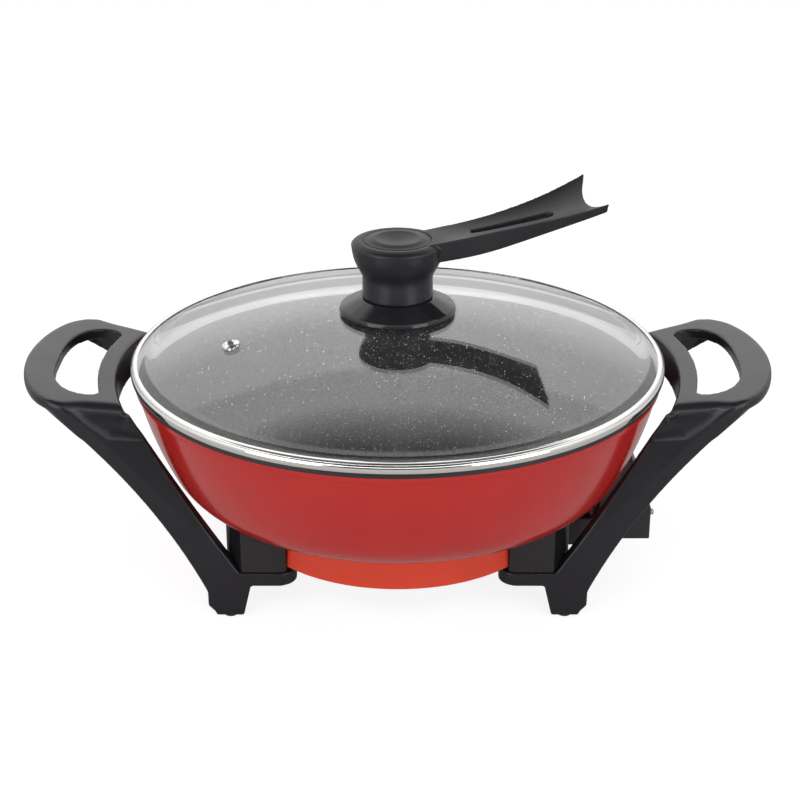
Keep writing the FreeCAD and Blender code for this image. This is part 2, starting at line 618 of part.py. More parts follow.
def socket_housing():
    half = HOUSING_HALF_WIDTH
    inside = half - HOUSING_WALL
    body = side_prism(housing_side(0.0), -half, half)
    body = body.cut(side_prism(housing_side(HOUSING_WALL), -inside, inside))
    body = body.cut(housing_dip())
    web_half = inside + SNUG
    web_back = HOUSING_BACK_WALL_X + HOUSING_WEB_T
    body = body.fuse(box(HOUSING_BACK_WALL_X, web_back, -web_half, web_half, HOUSING_FLOOR_Z + SNUG,
                         PIN_Z + HOUSING_WEB_RISE))
    for x, y in housing_screw_places():
        body = body.fuse(cylinder(HOUSING_POST_R, HOUSING_LOW_Z, HOUSING_POST_TOP_Z, x, y))
    body = body.cut(bowl_body(EYE))
    for x, y in housing_screw_places():
        body = body.cut(cylinder(HOUSING_SCREW_R + SNUG, 0, ABOVE, x, y))
        body = body.cut(cylinder(HOUSING_SCREW_HEAD_R + EYE, 0, HOUSING_LOW_Z + HOUSING_SCREW_HEAD_H, x, y))
    front = HOUSING_INNER_X - PAST
    back = web_back + PAST
    for y in (PIN_HALF_SPACING, -PIN_HALF_SPACING):
        body = body.cut(rod(ELEMENT_R + BEAD_WALL + SNUG, ELEMENT_END_X, back, y, PIN_Z))
        body = body.cut(rod(ELEMENT_R + EYE, front, back, y, PIN_Z))
    body = body.cut(rod(PROBE_SLEEVE_R + SNUG, front, back, 0, PIN_Z))
    return clean(max(body.Solids, key=lambda piece: piece.Volume))


def bowl_bosses():
    """Bosses under the bowl that the housing's screws go into."""
    bosses = []
    for x, y in housing_screw_places():
        top = side_height(math.hypot(x, y) + BOWL_BOSS_R)
        boss = cylinder(BOWL_BOSS_R, HOUSING_POST_TOP_Z + SNUG, top, x, y).cut(bowl_body(SNUG))
        hole = cylinder(HOUSING_SCREW_R + SNUG, 0, HOUSING_SCREW_TIP_Z + THREAD_END, x, y)
        bosses.append(clean(boss.cut(hole)))
    return Part.makeCompound(bosses)


def housing_screws():
    screws = []
    for x, y in housing_screw_places():
        screws.append(screw(HOUSING_SCREW_R, HOUSING_SCREW_HEAD_R, HOUSING_SCREW_HEAD_H,
                            HOUSING_LOW_Z + HOUSING_SCREW_HEAD_H, HOUSING_SCREW_TIP_Z, x, y))
    return Part.makeCompound(screws)


def earth_contact():
    """A bent strip along the floor of the connector, under the probe."""
    low = HOUSING_FLOOR_Z + HOUSING_WALL + SNUG
    start = HOUSING_BACK_WALL_X + HOUSING_WEB_T + SNUG
    half = EARTH_STRIP_HALF_WIDTH
    return side_prism([(start + x, low + z) for x, z in EARTH_STRIP], -half, half)


# ---- handle-and-leg mouldings ----

def plan_prism(edges, z_low, z_high):
    """A solid from edges drawn in the XY plane."""
    face = Part.Face(Part.Wire(edges))
    face.translate(V(0, 0, z_low))
    return face.extrude(V(0, 0, z_high - z_low))


def on_radius(radius, y):
    return V(-math.sqrt(radius * radius - y * y), y, 0)


def from_rim(out, up):
    """Point in the XZ plane, from its distance out from the rim bead and height above its top."""
    return V(-BEAD_R - out, 0, BEAD_TOP_Z + up)


def both_sides(places, end):
    """Points of a smooth line round a shape lying along X, from +Y round to -Y.

    A place is a distance out from the rim bead and one in from the arms' outside faces;
    end is how far out the line crosses the middle."""
    side = [V(-BEAD_R - out, FRAME_HALF_WIDTH - inset, 0) for out, inset in places]
    back = [V(point.x, -point.y, 0) for point in reversed(side)]
    return side + [V(-BEAD_R - end, 0, 0)] + back


def smooth(points):
    curve = Part.BSplineCurve()
    curve.interpolate(points)
    return curve.toShape()


def loop_outline():
    neck = on_radius(RIM_GAP_R, FRAME_HALF_WIDTH - LOOP_NECK_INSET)
    other = V(neck.x, -neck.y, 0)
    side = both_sides(LOOP_OUTLINE, LOOP_END)
    return [line(neck, side[0]), smooth(side), line(side[-1], other), arc(other, V(-RIM_GAP_R, 0, 0), neck)]


def grip_hole_outline():
    bar_r = RIM_GAP_R + LOOP_BAR
    corner = on_radius(bar_r, FRAME_HALF_WIDTH - GRIP_HOLE_CORNER_INSET)
    other = V(corner.x, -corner.y, 0)
    side = [corner] + both_sides(GRIP_HOLE, GRIP_HOLE_END) + [other]
    return [smooth(side), arc(other, V(-bar_r, 0, 0), corner)]


def loop_slab():
    """The layer of space, seen from the side, that the loop fills."""
    start, middle, end = [from_rim(out, up) for out, up in LOOP_TOP]
    drop = V(0, 0, -LOOP_T)
    edges = [
        arc(start, middle, end), line(end, end + drop),
        arc(end + drop, middle + drop, start + drop), line(start + drop, start),
    ]
    face = Part.Face(Part.Wire(edges))
    wide = 2 * FRAME_HALF_WIDTH
    face.translate(V(0, -wide, 0))
    return face.extrude(V(0, 2 * wide, 0))


def is_upright(edge):
    a = edge.Vertexes[0].Point
    b = edge.Vertexes[-1].Point
    return math.hypot(a.x - b.x, a.y - b.y) < EYE and abs(a.z - b.z) > EYE


def grip_loop():
    loop = clean(loop_slab().common(plan_prism(loop_outline(), 0, ABOVE)))
    rims = [edge for edge in loop.Edges if not is_upright(edge)]
    loop = loop.makeFillet(LOOP_FILLET, rims)
    return clean(loop.cut(plan_prism(grip_hole_outline(), 0, ABOVE)))


def arm_side():
    """Side view of one arm with its foot, as edges in the XZ plane."""
    outer_top = from_rim(*ARM_OUTER_TOP)
    elbow = from_rim(*ARM_OUTER_ELBOW)
    inner_top = from_rim(*ARM_INNER_TOP)
    inner_y = FRAME_HALF_WIDTH - ARM_T
    bowl_x = math.sqrt(JOIN_R * JOIN_R - inner_y * inner_y)
    inner_waist = V(-bowl_x - ARM_BOWL_GAP, 0, JOIN_Z)
    outer_waist = inner_waist - V(ARM_WIDTH, 0, 0)
    heel_top = V(-SKIRT_R - HEEL_OUT, 0, TONGUE_TOP_Z)
    toe_edge = V(-TOE_X - TOE_EDGE, 0, TOE_TOP_Z)
    toe_top = V(-TOE_X, 0, TOE_TOP_Z - TOE_TOP_DROP)
    toe_low = V(-TOE_X, 0, TOE_LOW_Z)
    toe_in = V(-FOOT_OUTER_X - TOE_SLOPE, 0, TOE_BOTTOM_Z)
    heel = V(-FOOT_OUTER_X, 0, PAD_SHOW)
    sole = V(-FOOT_INNER_X, 0, PAD_SHOW)
    neck = V(-FOOT_NECK_X, 0, TONGUE_TOP_Z - TONGUE_T)
    shelf = V(-FOOT_NECK_X, 0, TONGUE_TOP_Z)
    return [
        line(outer_top, elbow), arc(elbow, outer_waist, toe_edge), line(toe_edge, toe_top),
        line(toe_top, toe_low), line(toe_low, toe_in), line(toe_in, heel), line(heel, sole),
        line(sole, neck), line(neck, shelf), line(shelf, heel_top),
        arc(heel_top, inner_waist, inner_top), line(inner_top, outer_top),
    ]


def arm_prism(y_low, y_high, shift=0.0):
    face = Part.Face(Part.Wire(arm_side()))
    face.translate(V(shift, y_low, 0))
    return face.extrude(V(0, y_high - y_low, 0))


def above_loop():
    """Everything from the middle of the loop's thickness up, to trim the arms."""
    layers = []
    for step in range(3):
        layer = loop_slab()
        layer.translate(V(0, 0, 0.5 * LOOP_T + step * (LOOP_T - SNUG)))
        layers.append(layer)
    return layers[0].fuse(layers[1:])


def beyond_loop():
    """The space round the loop's outline that the arms' outer corners must not enter."""
    shoulder = BEAD_R + LOOP_OUTLINE[0][0]
    wide = 2 * FRAME_HALF_WIDTH
    outside = box(-2 * shoulder, -shoulder + EYE, -wide, wide, 0, ABOVE)
    inside = plan_prism(loop_outline(), -PAST, ABOVE + PAST)
    inside.translate(V(EYE, 0, 0))
    return outside.cut(inside)


def scoop():
    """The wedge that is cut away beside the inner edge at the top of an arm."""
    outside = V(0, -FRAME_HALF_WIDTH, 0)
    start = from_rim(*SCOOP_TOP) + outside
    foot = from_rim(*SCOOP_FOOT) + outside
    deep = from_rim(ARM_INNER_TOP[0], SCOOP_TOP[1]) + outside + V(0, SCOOP_DEPTH, 0)
    normal = (foot - start).cross(deep - start)
    normal.normalize()
    if normal.y > 0:
        normal = normal * -1.0
    along = foot - start
    along.normalize()
    across = normal.cross(along)
    size = SCOOP_REACH
    signs = ((-1, -1), (1, -1), (1, 1), (-1, 1))
    corners = [start + along * (a * size) + across * (b * size) for a, b in signs]
    face = Part.Face(Part.makePolygon(corners + [corners[0]]))
    return face.extrude(normal * SCOOP_CUT_DEPTH)


def web():
    """The curved wall under the loop's edge beside the rim, from arm to arm."""
    low = BEAD_TOP_Z - WEB_DROP
    half = FRAME_HALF_WIDTH - 0.5 * ARM_T
    wall = cylinder(RIM_GAP_R + WEB_T, low, BEAD_TOP_Z).cut(cylinder(RIM_GAP_R, low - PAST, ABOVE))
    return wall.common(box(-2 * BEAD_R, 0, -half, half, low, ABOVE)).cut(above_loop())


def tongue_y():
    return -FRAME_HALF_WIDTH + TONGUE_R


def tongue():
    """A tab with a round inner end under the bowl."""
    y = tongue_y()
    low = TONGUE_TOP_Z - TONGUE_T
    tab = cylinder(TONGUE_R, low, TONGUE_TOP_Z, -TONGUE_END_X, y)
    root_x = -FOOT_NECK_X - TONGUE_ROOT
    return tab.fuse(box(root_x, -TONGUE_END_X, y - TONGUE_R, y + TONGUE_R, low, TONGUE_TOP_Z))


def handle_frame():
    """The left moulding: a grip loop with its web, two arms, two feet and two tongues."""
    arm = arm_prism(-FRAME_HALF_WIDTH, -FRAME_HALF_WIDTH + ARM_T)
    arm = arm.cut(above_loop()).cut(scoop()).cut(beyond_loop())
    arm = max(arm.Solids, key=lambda piece: piece.Volume)
    corner = clean(arm.fuse(tongue()))
    frame = grip_loop().fuse([corner, mirror_y(corner), web()])
    head_top = TONGUE_TOP_Z - TONGUE_T + FRAME_SCREW_HEAD_H
    for side in (-1, 1):
        x = -FRAME_SCREW_X
        y = side * FRAME_SCREW_Y
        frame = frame.cut(cylinder(FRAME_SCREW_R + EYE, 0, STUD_BOTTOM_Z, x, y))
        frame = frame.cut(cylinder(FRAME_SCREW_HEAD_R + EYE, 0, head_top, x, y))
        pad_x, pad_y = pad_place(side)
        frame = frame.cut(cylinder(PAD_R + SNUG, 0, PAD_SHOW + PAD_DEPTH, pad_x, pad_y))
    return clean(frame)


def pad_place(side):
    x = -0.5 * (FOOT_INNER_X + FOOT_OUTER_X)
    y = side * (FRAME_HALF_WIDTH - 0.5 * ARM_T)
    return x, y


def foot_pads():
    x, y = pad_place(-1)
    return Part.makeCompound(four_corners(cylinder(PAD_R, 0, PAD_SHOW + PAD_DEPTH - SNUG, x, y)))


def riser_block():
    """The block between one tongue of the left moulding and the bowl."""
    r = TONGUE_R - RISER_INSET
    y = tongue_y()
    front = y - r
    back = y + r
    inner_x = -TONGUE_END_X
    corner_x = -RISER_OUTER_X + RISER_CHAMFER
    edges = [
        line(V(inner_x, front, 0), V(corner_x, front, 0)),
        line(V(corner_x, front, 0), V(-RISER_OUTER_X, front + RISER_CHAMFER, 0)),
        line(V(-RISER_OUTER_X, front + RISER_CHAMFER, 0), V(-RISER_OUTER_X, back, 0)),
        line(V(-RISER_OUTER_X, back, 0), V(inner_x, back, 0)),
        arc(V(inner_x, back, 0), V(inner_x + r, y, 0), V(inner_x, front, 0)),
    ]
    block = plan_prism(edges, TONGUE_TOP_Z + SNUG, ABOVE)
    block = block.cut(bowl_body(EYE))
    block = block.cut(arm_prism(-FRAME_HALF_WIDTH - EYE, -FRAME_HALF_WIDTH + ARM_T + EYE, EYE))
    block = block.cut(cylinder(SKIRT_R + EYE, 0, ABOVE))
    block = block.cut(cylinder(STUD_R + EYE, STUD_BOTTOM_Z - EYE, ABOVE, -FRAME_SCREW_X, -FRAME_SCREW_Y))
    block = block.cut(cylinder(FRAME_SCREW_R + EYE, 0, ABOVE, -FRAME_SCREW_X, -FRAME_SCREW_Y))
    pieces = [piece for piece in block.Solids if piece.BoundBox.ZMin < STUD_BOTTOM_Z]
    return clean(max(pieces, key=lambda piece: piece.Volume))


def mounting_stud():
    x = -FRAME_SCREW_X
    y = -FRAME_SCREW_Y
    top = side_height(math.hypot(x, y) + STUD_R)
    stud = cylinder(STUD_R, STUD_BOTTOM_Z, top, x, y).cut(bowl_body(SNUG))
    return clean(stud.cut(cylinder(FRAME_SCREW_R + SNUG, 0, FRAME_SCREW_TIP_Z + THREAD_END, x, y)))


def frame_screw():
    head_top = TONGUE_TOP_Z - TONGUE_T + FRAME_SCREW_HEAD_H
    return screw(FRAME_SCREW_R, FRAME_SCREW_HEAD_R, FRAME_SCREW_HEAD_H, head_top, FRAME_SCREW_TIP_Z,
                 -FRAME_SCREW_X, -FRAME_SCREW_Y)


# ---- lid ----

def glass_edge_z():
    return BAND_TOP_Z - BAND_T - SNUG


def dome_radius():
    rise = DOME_TOP_Z - glass_edge_z()
    return (DOME_R * DOME_R + rise * rise) / (2 * rise)


def dome_height(r):
    radius = dome_radius()
    return DOME_TOP_Z - radius + math.sqrt(radius * radius - r * r)


def dome_slope(r):
    return math.degrees(math.asin(r / dome_radius()))


def dome_arc(z_shift):
    """The dome's curve from its top down to the edge of the glass, moved by z_shift."""
    half = 0.5 * DOME_R
    middle = V(half, 0, dome_height(half) + z_shift)
    return arc(V(0, 0, DOME_TOP_Z + z_shift), middle, V(DOME_R, 0, glass_edge_z() + z_shift))


def lid_band():
    r = LID_R
    t = BAND_T
    q = BAND_ROUND
    top = BAND_TOP_Z
    low = BAND_BOTTOM_Z
    inner = r - BAND_FLANGE
    lip = r - BAND_LIP
    outer_mid = q * (1 - math.sqrt(0.5))
    inner_mid = t + (q - t) * (1 - math.sqrt(0.5))
    edges = [
        line(V(inner, 0, low), V(r, 0, low)),
        line(V(r, 0, low), V(r, 0, top - q)),
        arc(V(r, 0, top - q), V(r - outer_mid, 0, top - outer_mid), V(r - q, 0, top)),
        line(V(r - q, 0, top), V(lip, 0, top)),
        line(V(lip, 0, top), V(lip, 0, top - t)),
        line(V(lip, 0, top - t), V(r - q, 0, top - t)),
        arc(V(r - q, 0, top - t), V(r - inner_mid, 0, top - inner_mid), V(r - t, 0, top - q)),
        line(V(r - t, 0, top - q), V(r - t, 0, low + t)),
        line(V(r - t, 0, low + t), V(inner, 0, low + t)),
        line(V(inner, 0, low + t), V(inner, 0, low)),
    ]
    return turned_edges(edges)


def vent_placed(shape):
    """Moves a piece drawn on the Z axis, with z = 0 at the glass's top, to the vent."""
    r = math.hypot(VENT_X, VENT_Y)
    shape = shape.copy()
    shape.rotate(ORIGIN, V(0, 1, 0), dome_slope(r))
    shape.translate(V(r, 0, dome_height(r)))
    shape.rotate(ORIGIN, UP, math.degrees(math.atan2(VENT_Y, VENT_X)))
    return shape


def lid_glass():
    edge_r = LID_R - BAND_T - EYE
    edge_z = glass_edge_z()
    bevel = GLASS_EDGE_CHAMFER
    edges = [
        dome_arc(0.0),
        line(V(DOME_R, 0, edge_z), V(edge_r - bevel, 0, edge_z)),
        line(V(edge_r - bevel, 0, edge_z), V(edge_r, 0, edge_z - bevel)),
        line(V(edge_r, 0, edge_z - bevel), V(edge_r, 0, edge_z - GLASS_T)),
        line(V(edge_r, 0, edge_z - GLASS_T), V(DOME_R, 0, edge_z - GLASS_T)),
        dome_arc(-GLASS_T),
        line(V(0, 0, DOME_TOP_Z - GLASS_T), V(0, 0, DOME_TOP_Z)),
    ]
    glass = Part.Face(Part.Wire(Part.__sortEdges__(edges))).revolve(ORIGIN, UP, 360)
    glass = glass.cut(cylinder(GLASS_HOLE_R, 0, FAR_ABOVE))
    reach = 5 * GLASS_T
    return clean(glass.cut(vent_placed(cylinder(VENT_TUBE_R + SNUG, -reach, reach))))


def steam_vent():
    """A hollow rivet through the glass."""
    top = VENT_FLANGE_T + VENT_TOP_RISE
    low = -GLASS_T - EYE
    seat = EYE
    inner_r = VENT_INNER_FLANGE_R
    eyelet = turned([
        (VENT_HOLE_R, low - VENT_FLANGE_T), (inner_r, low - VENT_FLANGE_T), (inner_r, low),
        (VENT_TUBE_R, low), (VENT_TUBE_R, seat), (VENT_FLANGE_R, seat),
        (VENT_FLANGE_R - VENT_EDGE, VENT_FLANGE_T), (VENT_HOLE_R + VENT_LIP, top),
        (VENT_HOLE_R, top - VENT_LIP_DROP),
    ])
    return vent_placed(eyelet)


def knob_flange():
    """A bell that spreads the knob's load on the glass."""
    low = dome_height(FLANGE_R) + FLANGE_GLASS_GAP
    top = FLANGE_TOP_Z
    wall = FLANGE_WALL
    boss_low = DOME_TOP_Z + GASKET_T + SNUG
    skirt_top = V(FLANGE_R, 0, low + FLANGE_EDGE_H)
    waist = V(FLANGE_R - FLANGE_WAIST_IN, 0, top - FLANGE_WAIST_DROP)
    edge_low = V(FLANGE_R - FLANGE_EDGE_BEVEL, 0, low)
    inner_low = V(FLANGE_R - wall, 0, low)
    inner_waist = waist - V(FLANGE_SKIN[0], 0, FLANGE_SKIN[1])
    inner_top = V(FLANGE_TOP_R - FLANGE_SHOULDER_WALL, 0, top - wall)
    edges = [
        line(V(0, 0, top), V(FLANGE_TOP_R, 0, top)),
        arc(V(FLANGE_TOP_R, 0, top), waist, skirt_top),
        line(skirt_top, edge_low),
        line(edge_low, inner_low),
        arc(inner_low, inner_waist, inner_top),
        line(inner_top, V(FLANGE_BOSS_R, 0, top - wall)),
        line(V(FLANGE_BOSS_R, 0, top - wall), V(FLANGE_BOSS_R, 0, boss_low)),
        line(V(FLANGE_BOSS_R, 0, boss_low), V(0, 0, boss_low)),
        line(V(0, 0, boss_low), V(0, 0, top)),
    ]
    return clean(turned_edges(edges).cut(cylinder(KNOB_SCREW_R + EYE, 0, FAR_ABOVE)))


def grip_section(s, half_width, edge_rise, channel, edge_t, middle_t):
    """One closed section across the grip: hollow on top, curved below."""
    edge_z = HEAD_TOP_Z + edge_rise
    low_half = half_width - GRIP_EDGE_DRAFT
    top_l = V(s, half_width, edge_z)
    top_r = V(s, -half_width, edge_z)
    low_l = V(s, low_half, edge_z - edge_t)
    low_r = V(s, -low_half, edge_z - edge_t)
    edges = [
        arc(top_l, V(s, 0, edge_z - channel), top_r), line(top_r, low_r),
        arc(low_r, V(s, 0, edge_z - channel - middle_t), low_l), line(low_l, top_l),
    ]
    return Part.Wire(edges)


def fish_tail():
    """The grip with its slot and the hollow between its two tips, along +X."""
    grip = Part.makeLoft([grip_section(*section) for section in GRIP_SECTIONS], True, False)
    half = GRIP_SECTIONS[-1][1]
    past = GRIP_SECTIONS[-1][0] + GRIP_END_MARGIN
    wide = half + GRIP_END_MARGIN
    rear_tip = V(TIP_S, half, 0)
    near_tip = V(TIP_S, -half, 0)
    rear_out = V(TIP_S, wide, 0)
    near_out = V(TIP_S, -wide, 0)
    rear_corner = V(past, wide, 0)
    near_corner = V(past, -wide, 0)
    end_cut = plan_prism([
        line(rear_out, rear_tip), arc(rear_tip, V(NOTCH_S, 0, 0), near_tip), line(near_tip, near_out),
        line(near_out, near_corner), line(near_corner, rear_corner), line(rear_corner, rear_out),
    ], 0, FAR_ABOVE)
    a = SLOT_START_HALF_WIDTH
    b = SLOT_END_HALF_WIDTH
    slot = plan_prism([
        line(V(SLOT_START, -a, 0), V(SLOT_END - b, -b, 0)),
        arc(V(SLOT_END - b, -b, 0), V(SLOT_END, 0, 0), V(SLOT_END - b, b, 0)),
        line(V(SLOT_END - b, b, 0), V(SLOT_START, a, 0)),
        line(V(SLOT_START, a, 0), V(SLOT_START, -a, 0)),
    ], 0, FAR_ABOVE)
    return grip.cut(end_cut).cut(slot)


def lid_handle():
    """Column, head and grip of the knob, one moulding."""
    low = FLANGE_TOP_Z + SNUG
    cone_low = V(COLUMN_R, 0, CONE_START_Z)
    cone_middle = V(HEAD_R - CONE_BULGE[0], 0, CONE_START_Z + CONE_BULGE[1])
    cone_top = V(HEAD_R - HEAD_UNDER[0], 0, HEAD_EDGE_Z - HEAD_UNDER[1])
    corners = [
        cone_top, V(HEAD_R, 0, HEAD_EDGE_Z), V(HEAD_R - HEAD_CROWN[0], 0, HEAD_TOP_Z - HEAD_CROWN[1]),
        V(HEAD_R - HEAD_CROWN_END, 0, HEAD_TOP_Z), V(0, 0, HEAD_TOP_Z), V(0, 0, low),
        V(COLUMN_R - COLUMN_EDGE, 0, low), V(COLUMN_R, 0, low + COLUMN_EDGE), cone_low,
    ]
    sides = [line(a, b) for a, b in zip(corners, corners[1:])]
    stem = turned_edges([arc(cone_low, cone_middle, cone_top)] + sides)
    grip = fish_tail()
    grip.rotate(ORIGIN, UP, GRIP_ANGLE)
    knob = stem.fuse(grip)
    knob = knob.cut(cylinder(CAP_R + SNUG, HEAD_TOP_Z - CAP_T, FAR_ABOVE))
    knob = knob.cut(cylinder(INSERT_R + SNUG, 0, FLANGE_TOP_Z + INSERT_LENGTH + SNUG))
    return clean(knob)


def knob_cap():
    """A low disc with a round dish in its top."""
    low = HEAD_TOP_Z - CAP_T + SNUG
    top = HEAD_TOP_Z + CAP_RISE
    disc = turned([
        (0, low), (CAP_R, low), (CAP_R, HEAD_TOP_Z - CAP_EDGE_DROP), (DISH_R + CAP_RING, top), (0, top),
    ])
    ball_r = (DISH_R * DISH_R + DISH_DEPTH * DISH_DEPTH) / (2 * DISH_DEPTH)
    return clean(disc.cut(Part.makeSphere(ball_r, V(0, 0, top - DISH_DEPTH + ball_r))))


def knob_insert():
    low = FLANGE_TOP_Z + 2 * SNUG
    high = FLANGE_TOP_Z + INSERT_LENGTH - SNUG
    return cylinder(INSERT_R, low, high).cut(cylinder(KNOB_SCREW_R + SNUG, 0, high - INSERT_END_WALL))


def under_glass():
    return DOME_TOP_Z - GLASS_T


def knob_screw():
    head_top = under_glass() - GASKET_T - WASHER_T - 3 * SNUG
    tip = FLANGE_TOP_Z + INSERT_LENGTH - 2 * INSERT_END_WALL
    return screw(KNOB_SCREW_R, KNOB_SCREW_HEAD_R, KNOB_SCREW_HEAD_H, head_top, tip, 0, 0)


def knob_washer():
    high = under_glass() - GASKET_T - 2 * SNUG
    return cylinder(WASHER_R, high - WASHER_T, high).cut(cylinder(KNOB_SCREW_R + EYE, 0, FAR_ABOVE))


def knob_gaskets():
    """A soft ring on each side of the glass."""
    hole = cylinder(KNOB_SCREW_R + EYE, 0, FAR_ABOVE)
    upper = cylinder(FLANGE_BOSS_R, DOME_TOP_Z + SNUG, DOME_TOP_Z + GASKET_T).cut(hole)
    sag = DOME_TOP_Z - dome_height(WASHER_R)
    lower = cylinder(WASHER_R, under_glass() - GASKET_T - SNUG, under_glass() - sag - SNUG).cut(hole)
    return Part.makeCompound([upper, lower])


def save(name, shape):
    for solid in shape.Solids:
        if not solid.isValid():
            print("invalid solid in", name)
    shape.exportStep("parts/%s.step" % name)
    size = shape.BoundBox
    print("%-26s solids %2d volume %10.1f  z %.1f..%.1f" % (
        name, len(shape.Solids), shape.Volume, size.ZMin, size.ZMax))


def main():
    os.makedirs("parts", exist_ok=True)
    save("bowl", bowl())
    save("skirt_ring", skirt_ring())
    save("heater_plate", heater_plate())
    save("heating_element", element_tube(ELEMENT_R))
    save("base_cover", base_cover())
    save("base_cover_screws", cover_screws())
    save("terminal_pins", terminal_pins())
    save("terminal_beads", ceramic_beads())
    save("probe_sleeve", probe_sleeve())
    save("socket_housing", socket_housing())
    save("socket_bosses", bowl_bosses())
    save("socket_screws", housing_screws())
    save("earth_contact", earth_contact())
    frame = handle_frame()
    save("handle_frame_left", frame)
    save("handle_frame_right", mirror_x(frame))
    blocks = four_corners(riser_block())
    names = ("front_left", "rear_left", "front_right", "rear_right")
    for name, block in zip(names, blocks):
        save("riser_" + name, block)
    save("mounting_studs", Part.makeCompound(four_corners(mounting_stud())))
    save("frame_screws", Part.makeCompound(four_corners(frame_screw())))
    save("foot_pads", foot_pads())
    save("lid_glass", lid_glass())
    save("lid_band", lid_band())
    save("steam_vent", steam_vent())
    save("knob_flange", knob_flange())
    save("lid_handle", lid_handle())
    save("knob_cap", knob_cap())
    save("knob_insert", knob_insert())
    save("knob_screw", knob_screw())
    save("knob_washer", knob_washer())
    save("knob_gaskets", knob_gaskets())


main()
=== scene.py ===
"""Looks of an electric wok with a lift-off glass lid.

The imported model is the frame. Turned pieces are rebuilt as finely turned meshes, the mouldings get soft
edges, and every piece gets a node material. Lengths are written in millimetres and used in metres.
Heights are above the table, and (r, z) points lie in a half plane through the wok's upright axis.
"""
import json
import math

import bmesh
import bpy
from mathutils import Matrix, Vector

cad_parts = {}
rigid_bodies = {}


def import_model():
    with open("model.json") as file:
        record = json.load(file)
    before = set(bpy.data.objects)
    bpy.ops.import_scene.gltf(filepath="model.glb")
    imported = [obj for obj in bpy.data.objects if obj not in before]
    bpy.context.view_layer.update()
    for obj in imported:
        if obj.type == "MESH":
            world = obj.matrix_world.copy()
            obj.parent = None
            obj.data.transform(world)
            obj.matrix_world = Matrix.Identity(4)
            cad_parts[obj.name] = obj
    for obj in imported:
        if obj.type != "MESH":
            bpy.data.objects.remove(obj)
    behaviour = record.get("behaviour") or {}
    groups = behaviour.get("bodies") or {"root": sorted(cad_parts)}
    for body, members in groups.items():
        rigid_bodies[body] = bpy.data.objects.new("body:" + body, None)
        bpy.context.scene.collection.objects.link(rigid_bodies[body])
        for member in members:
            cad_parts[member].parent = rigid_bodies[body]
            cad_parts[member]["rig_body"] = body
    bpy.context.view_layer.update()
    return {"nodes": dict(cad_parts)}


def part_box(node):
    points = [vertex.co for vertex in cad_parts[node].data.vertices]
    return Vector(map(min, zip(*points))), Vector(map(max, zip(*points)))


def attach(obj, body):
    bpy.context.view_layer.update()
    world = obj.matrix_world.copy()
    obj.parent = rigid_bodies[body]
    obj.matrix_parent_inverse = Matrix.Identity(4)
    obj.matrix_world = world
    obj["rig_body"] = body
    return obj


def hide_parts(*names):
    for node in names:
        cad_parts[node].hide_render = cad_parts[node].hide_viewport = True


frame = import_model()
nodes = frame["nodes"]
MM = 0.001


# ---------------------------------------------------------------- node helpers

NOISE_LOW = 0.3              # a noise texture's values mostly lie between these two
NOISE_HIGH = 0.7


def new_material(name):
    """A new node material, with its tree and its main shader."""
    material = bpy.data.materials.new(name)
    material.use_nodes = True
    tree = material.node_tree
    shader = tree.nodes["Principled BSDF"]
    return material, tree, shader


def place(tree):
    """Where a shading point is on the object, in metres."""
    return tree.nodes.new("ShaderNodeTexCoord").outputs["Object"]


def split_xyz(tree, vector):
    node = tree.nodes.new("ShaderNodeSeparateXYZ")
    tree.links.new(vector, node.inputs[0])
    return node.outputs["X"], node.outputs["Y"], node.outputs["Z"]


def calc(tree, operation, a, b=None):
    """The result of one Math node; a and b are sockets or numbers."""
    node = tree.nodes.new("ShaderNodeMath")
    node.operation = operation
    for value, socket in zip((a, b), node.inputs):
        if isinstance(value, float):
            socket.default_value = value
        elif value is not None:
            tree.links.new(value, socket)
    return node.outputs[0]


def times(tree, a, b):
    return calc(tree, "MULTIPLY", a, b)


def largest(tree, a, b):
    return calc(tree, "MAXIMUM", a, b)


def length_xy(tree, x, y):
    """Length of a vector's level part."""
    return calc(tree, "SQRT", calc(tree, "ADD", times(tree, x, x), times(tree, y, y)))


def choose(tree, share, first, second):
    """Mixes two shaders; a share of 1 gives the second."""
    node = tree.nodes.new("ShaderNodeMixShader")
    tree.links.new(share, node.inputs["Fac"])
    tree.links.new(first, node.inputs[1])
    tree.links.new(second, node.inputs[2])
    return node.outputs[0]


def noise(tree, scale, detail=3.0):
    """A noise texture fixed to the object; scale is in waves per metre."""
    node = tree.nodes.new("ShaderNodeTexNoise")
    node.inputs["Scale"].default_value = scale
    node.inputs["Detail"].default_value = detail
    tree.links.new(place(tree), node.inputs["Vector"])
    return node.outputs["Fac"]


def ramp(tree, value, stops):
    """A colour ramp; stops are (position, colour)."""
    node = tree.nodes.new("ShaderNodeValToRGB")
    tree.links.new(value, node.inputs["Fac"])
    while len(node.color_ramp.elements) < len(stops):
        node.color_ramp.elements.new(0.5)
    for element, (position, colour) in zip(node.color_ramp.elements, stops):
        element.position = position
        element.color = (*colour, 1.0)
    return node.outputs["Color"]


def spread(tree, value, low, high, to_low, to_high):
    """Maps a value from one range to another."""
    node = tree.nodes.new("ShaderNodeMapRange")
    node.inputs["From Min"].default_value = low
    node.inputs["From Max"].default_value = high
    node.inputs["To Min"].default_value = to_low
    node.inputs["To Max"].default_value = to_high
    tree.links.new(value, node.inputs["Value"])
    return node.outputs["Result"]


def bump(tree, shader, height, strength, distance):
    node = tree.nodes.new("ShaderNodeBump")
    node.inputs["Strength"].default_value = strength
    node.inputs["Distance"].default_value = distance
    tree.links.new(height, node.inputs["Height"])
    tree.links.new(node.outputs["Normal"], shader.inputs["Normal"])


def colour_by(tree, shader, texture, first, second, low=NOISE_LOW, high=NOISE_HIGH):
    """Lets the base colour run from one colour to another with a texture."""
    tree.links.new(ramp(tree, texture, [(low, first), (high, second)]), shader.inputs["Base Color"])


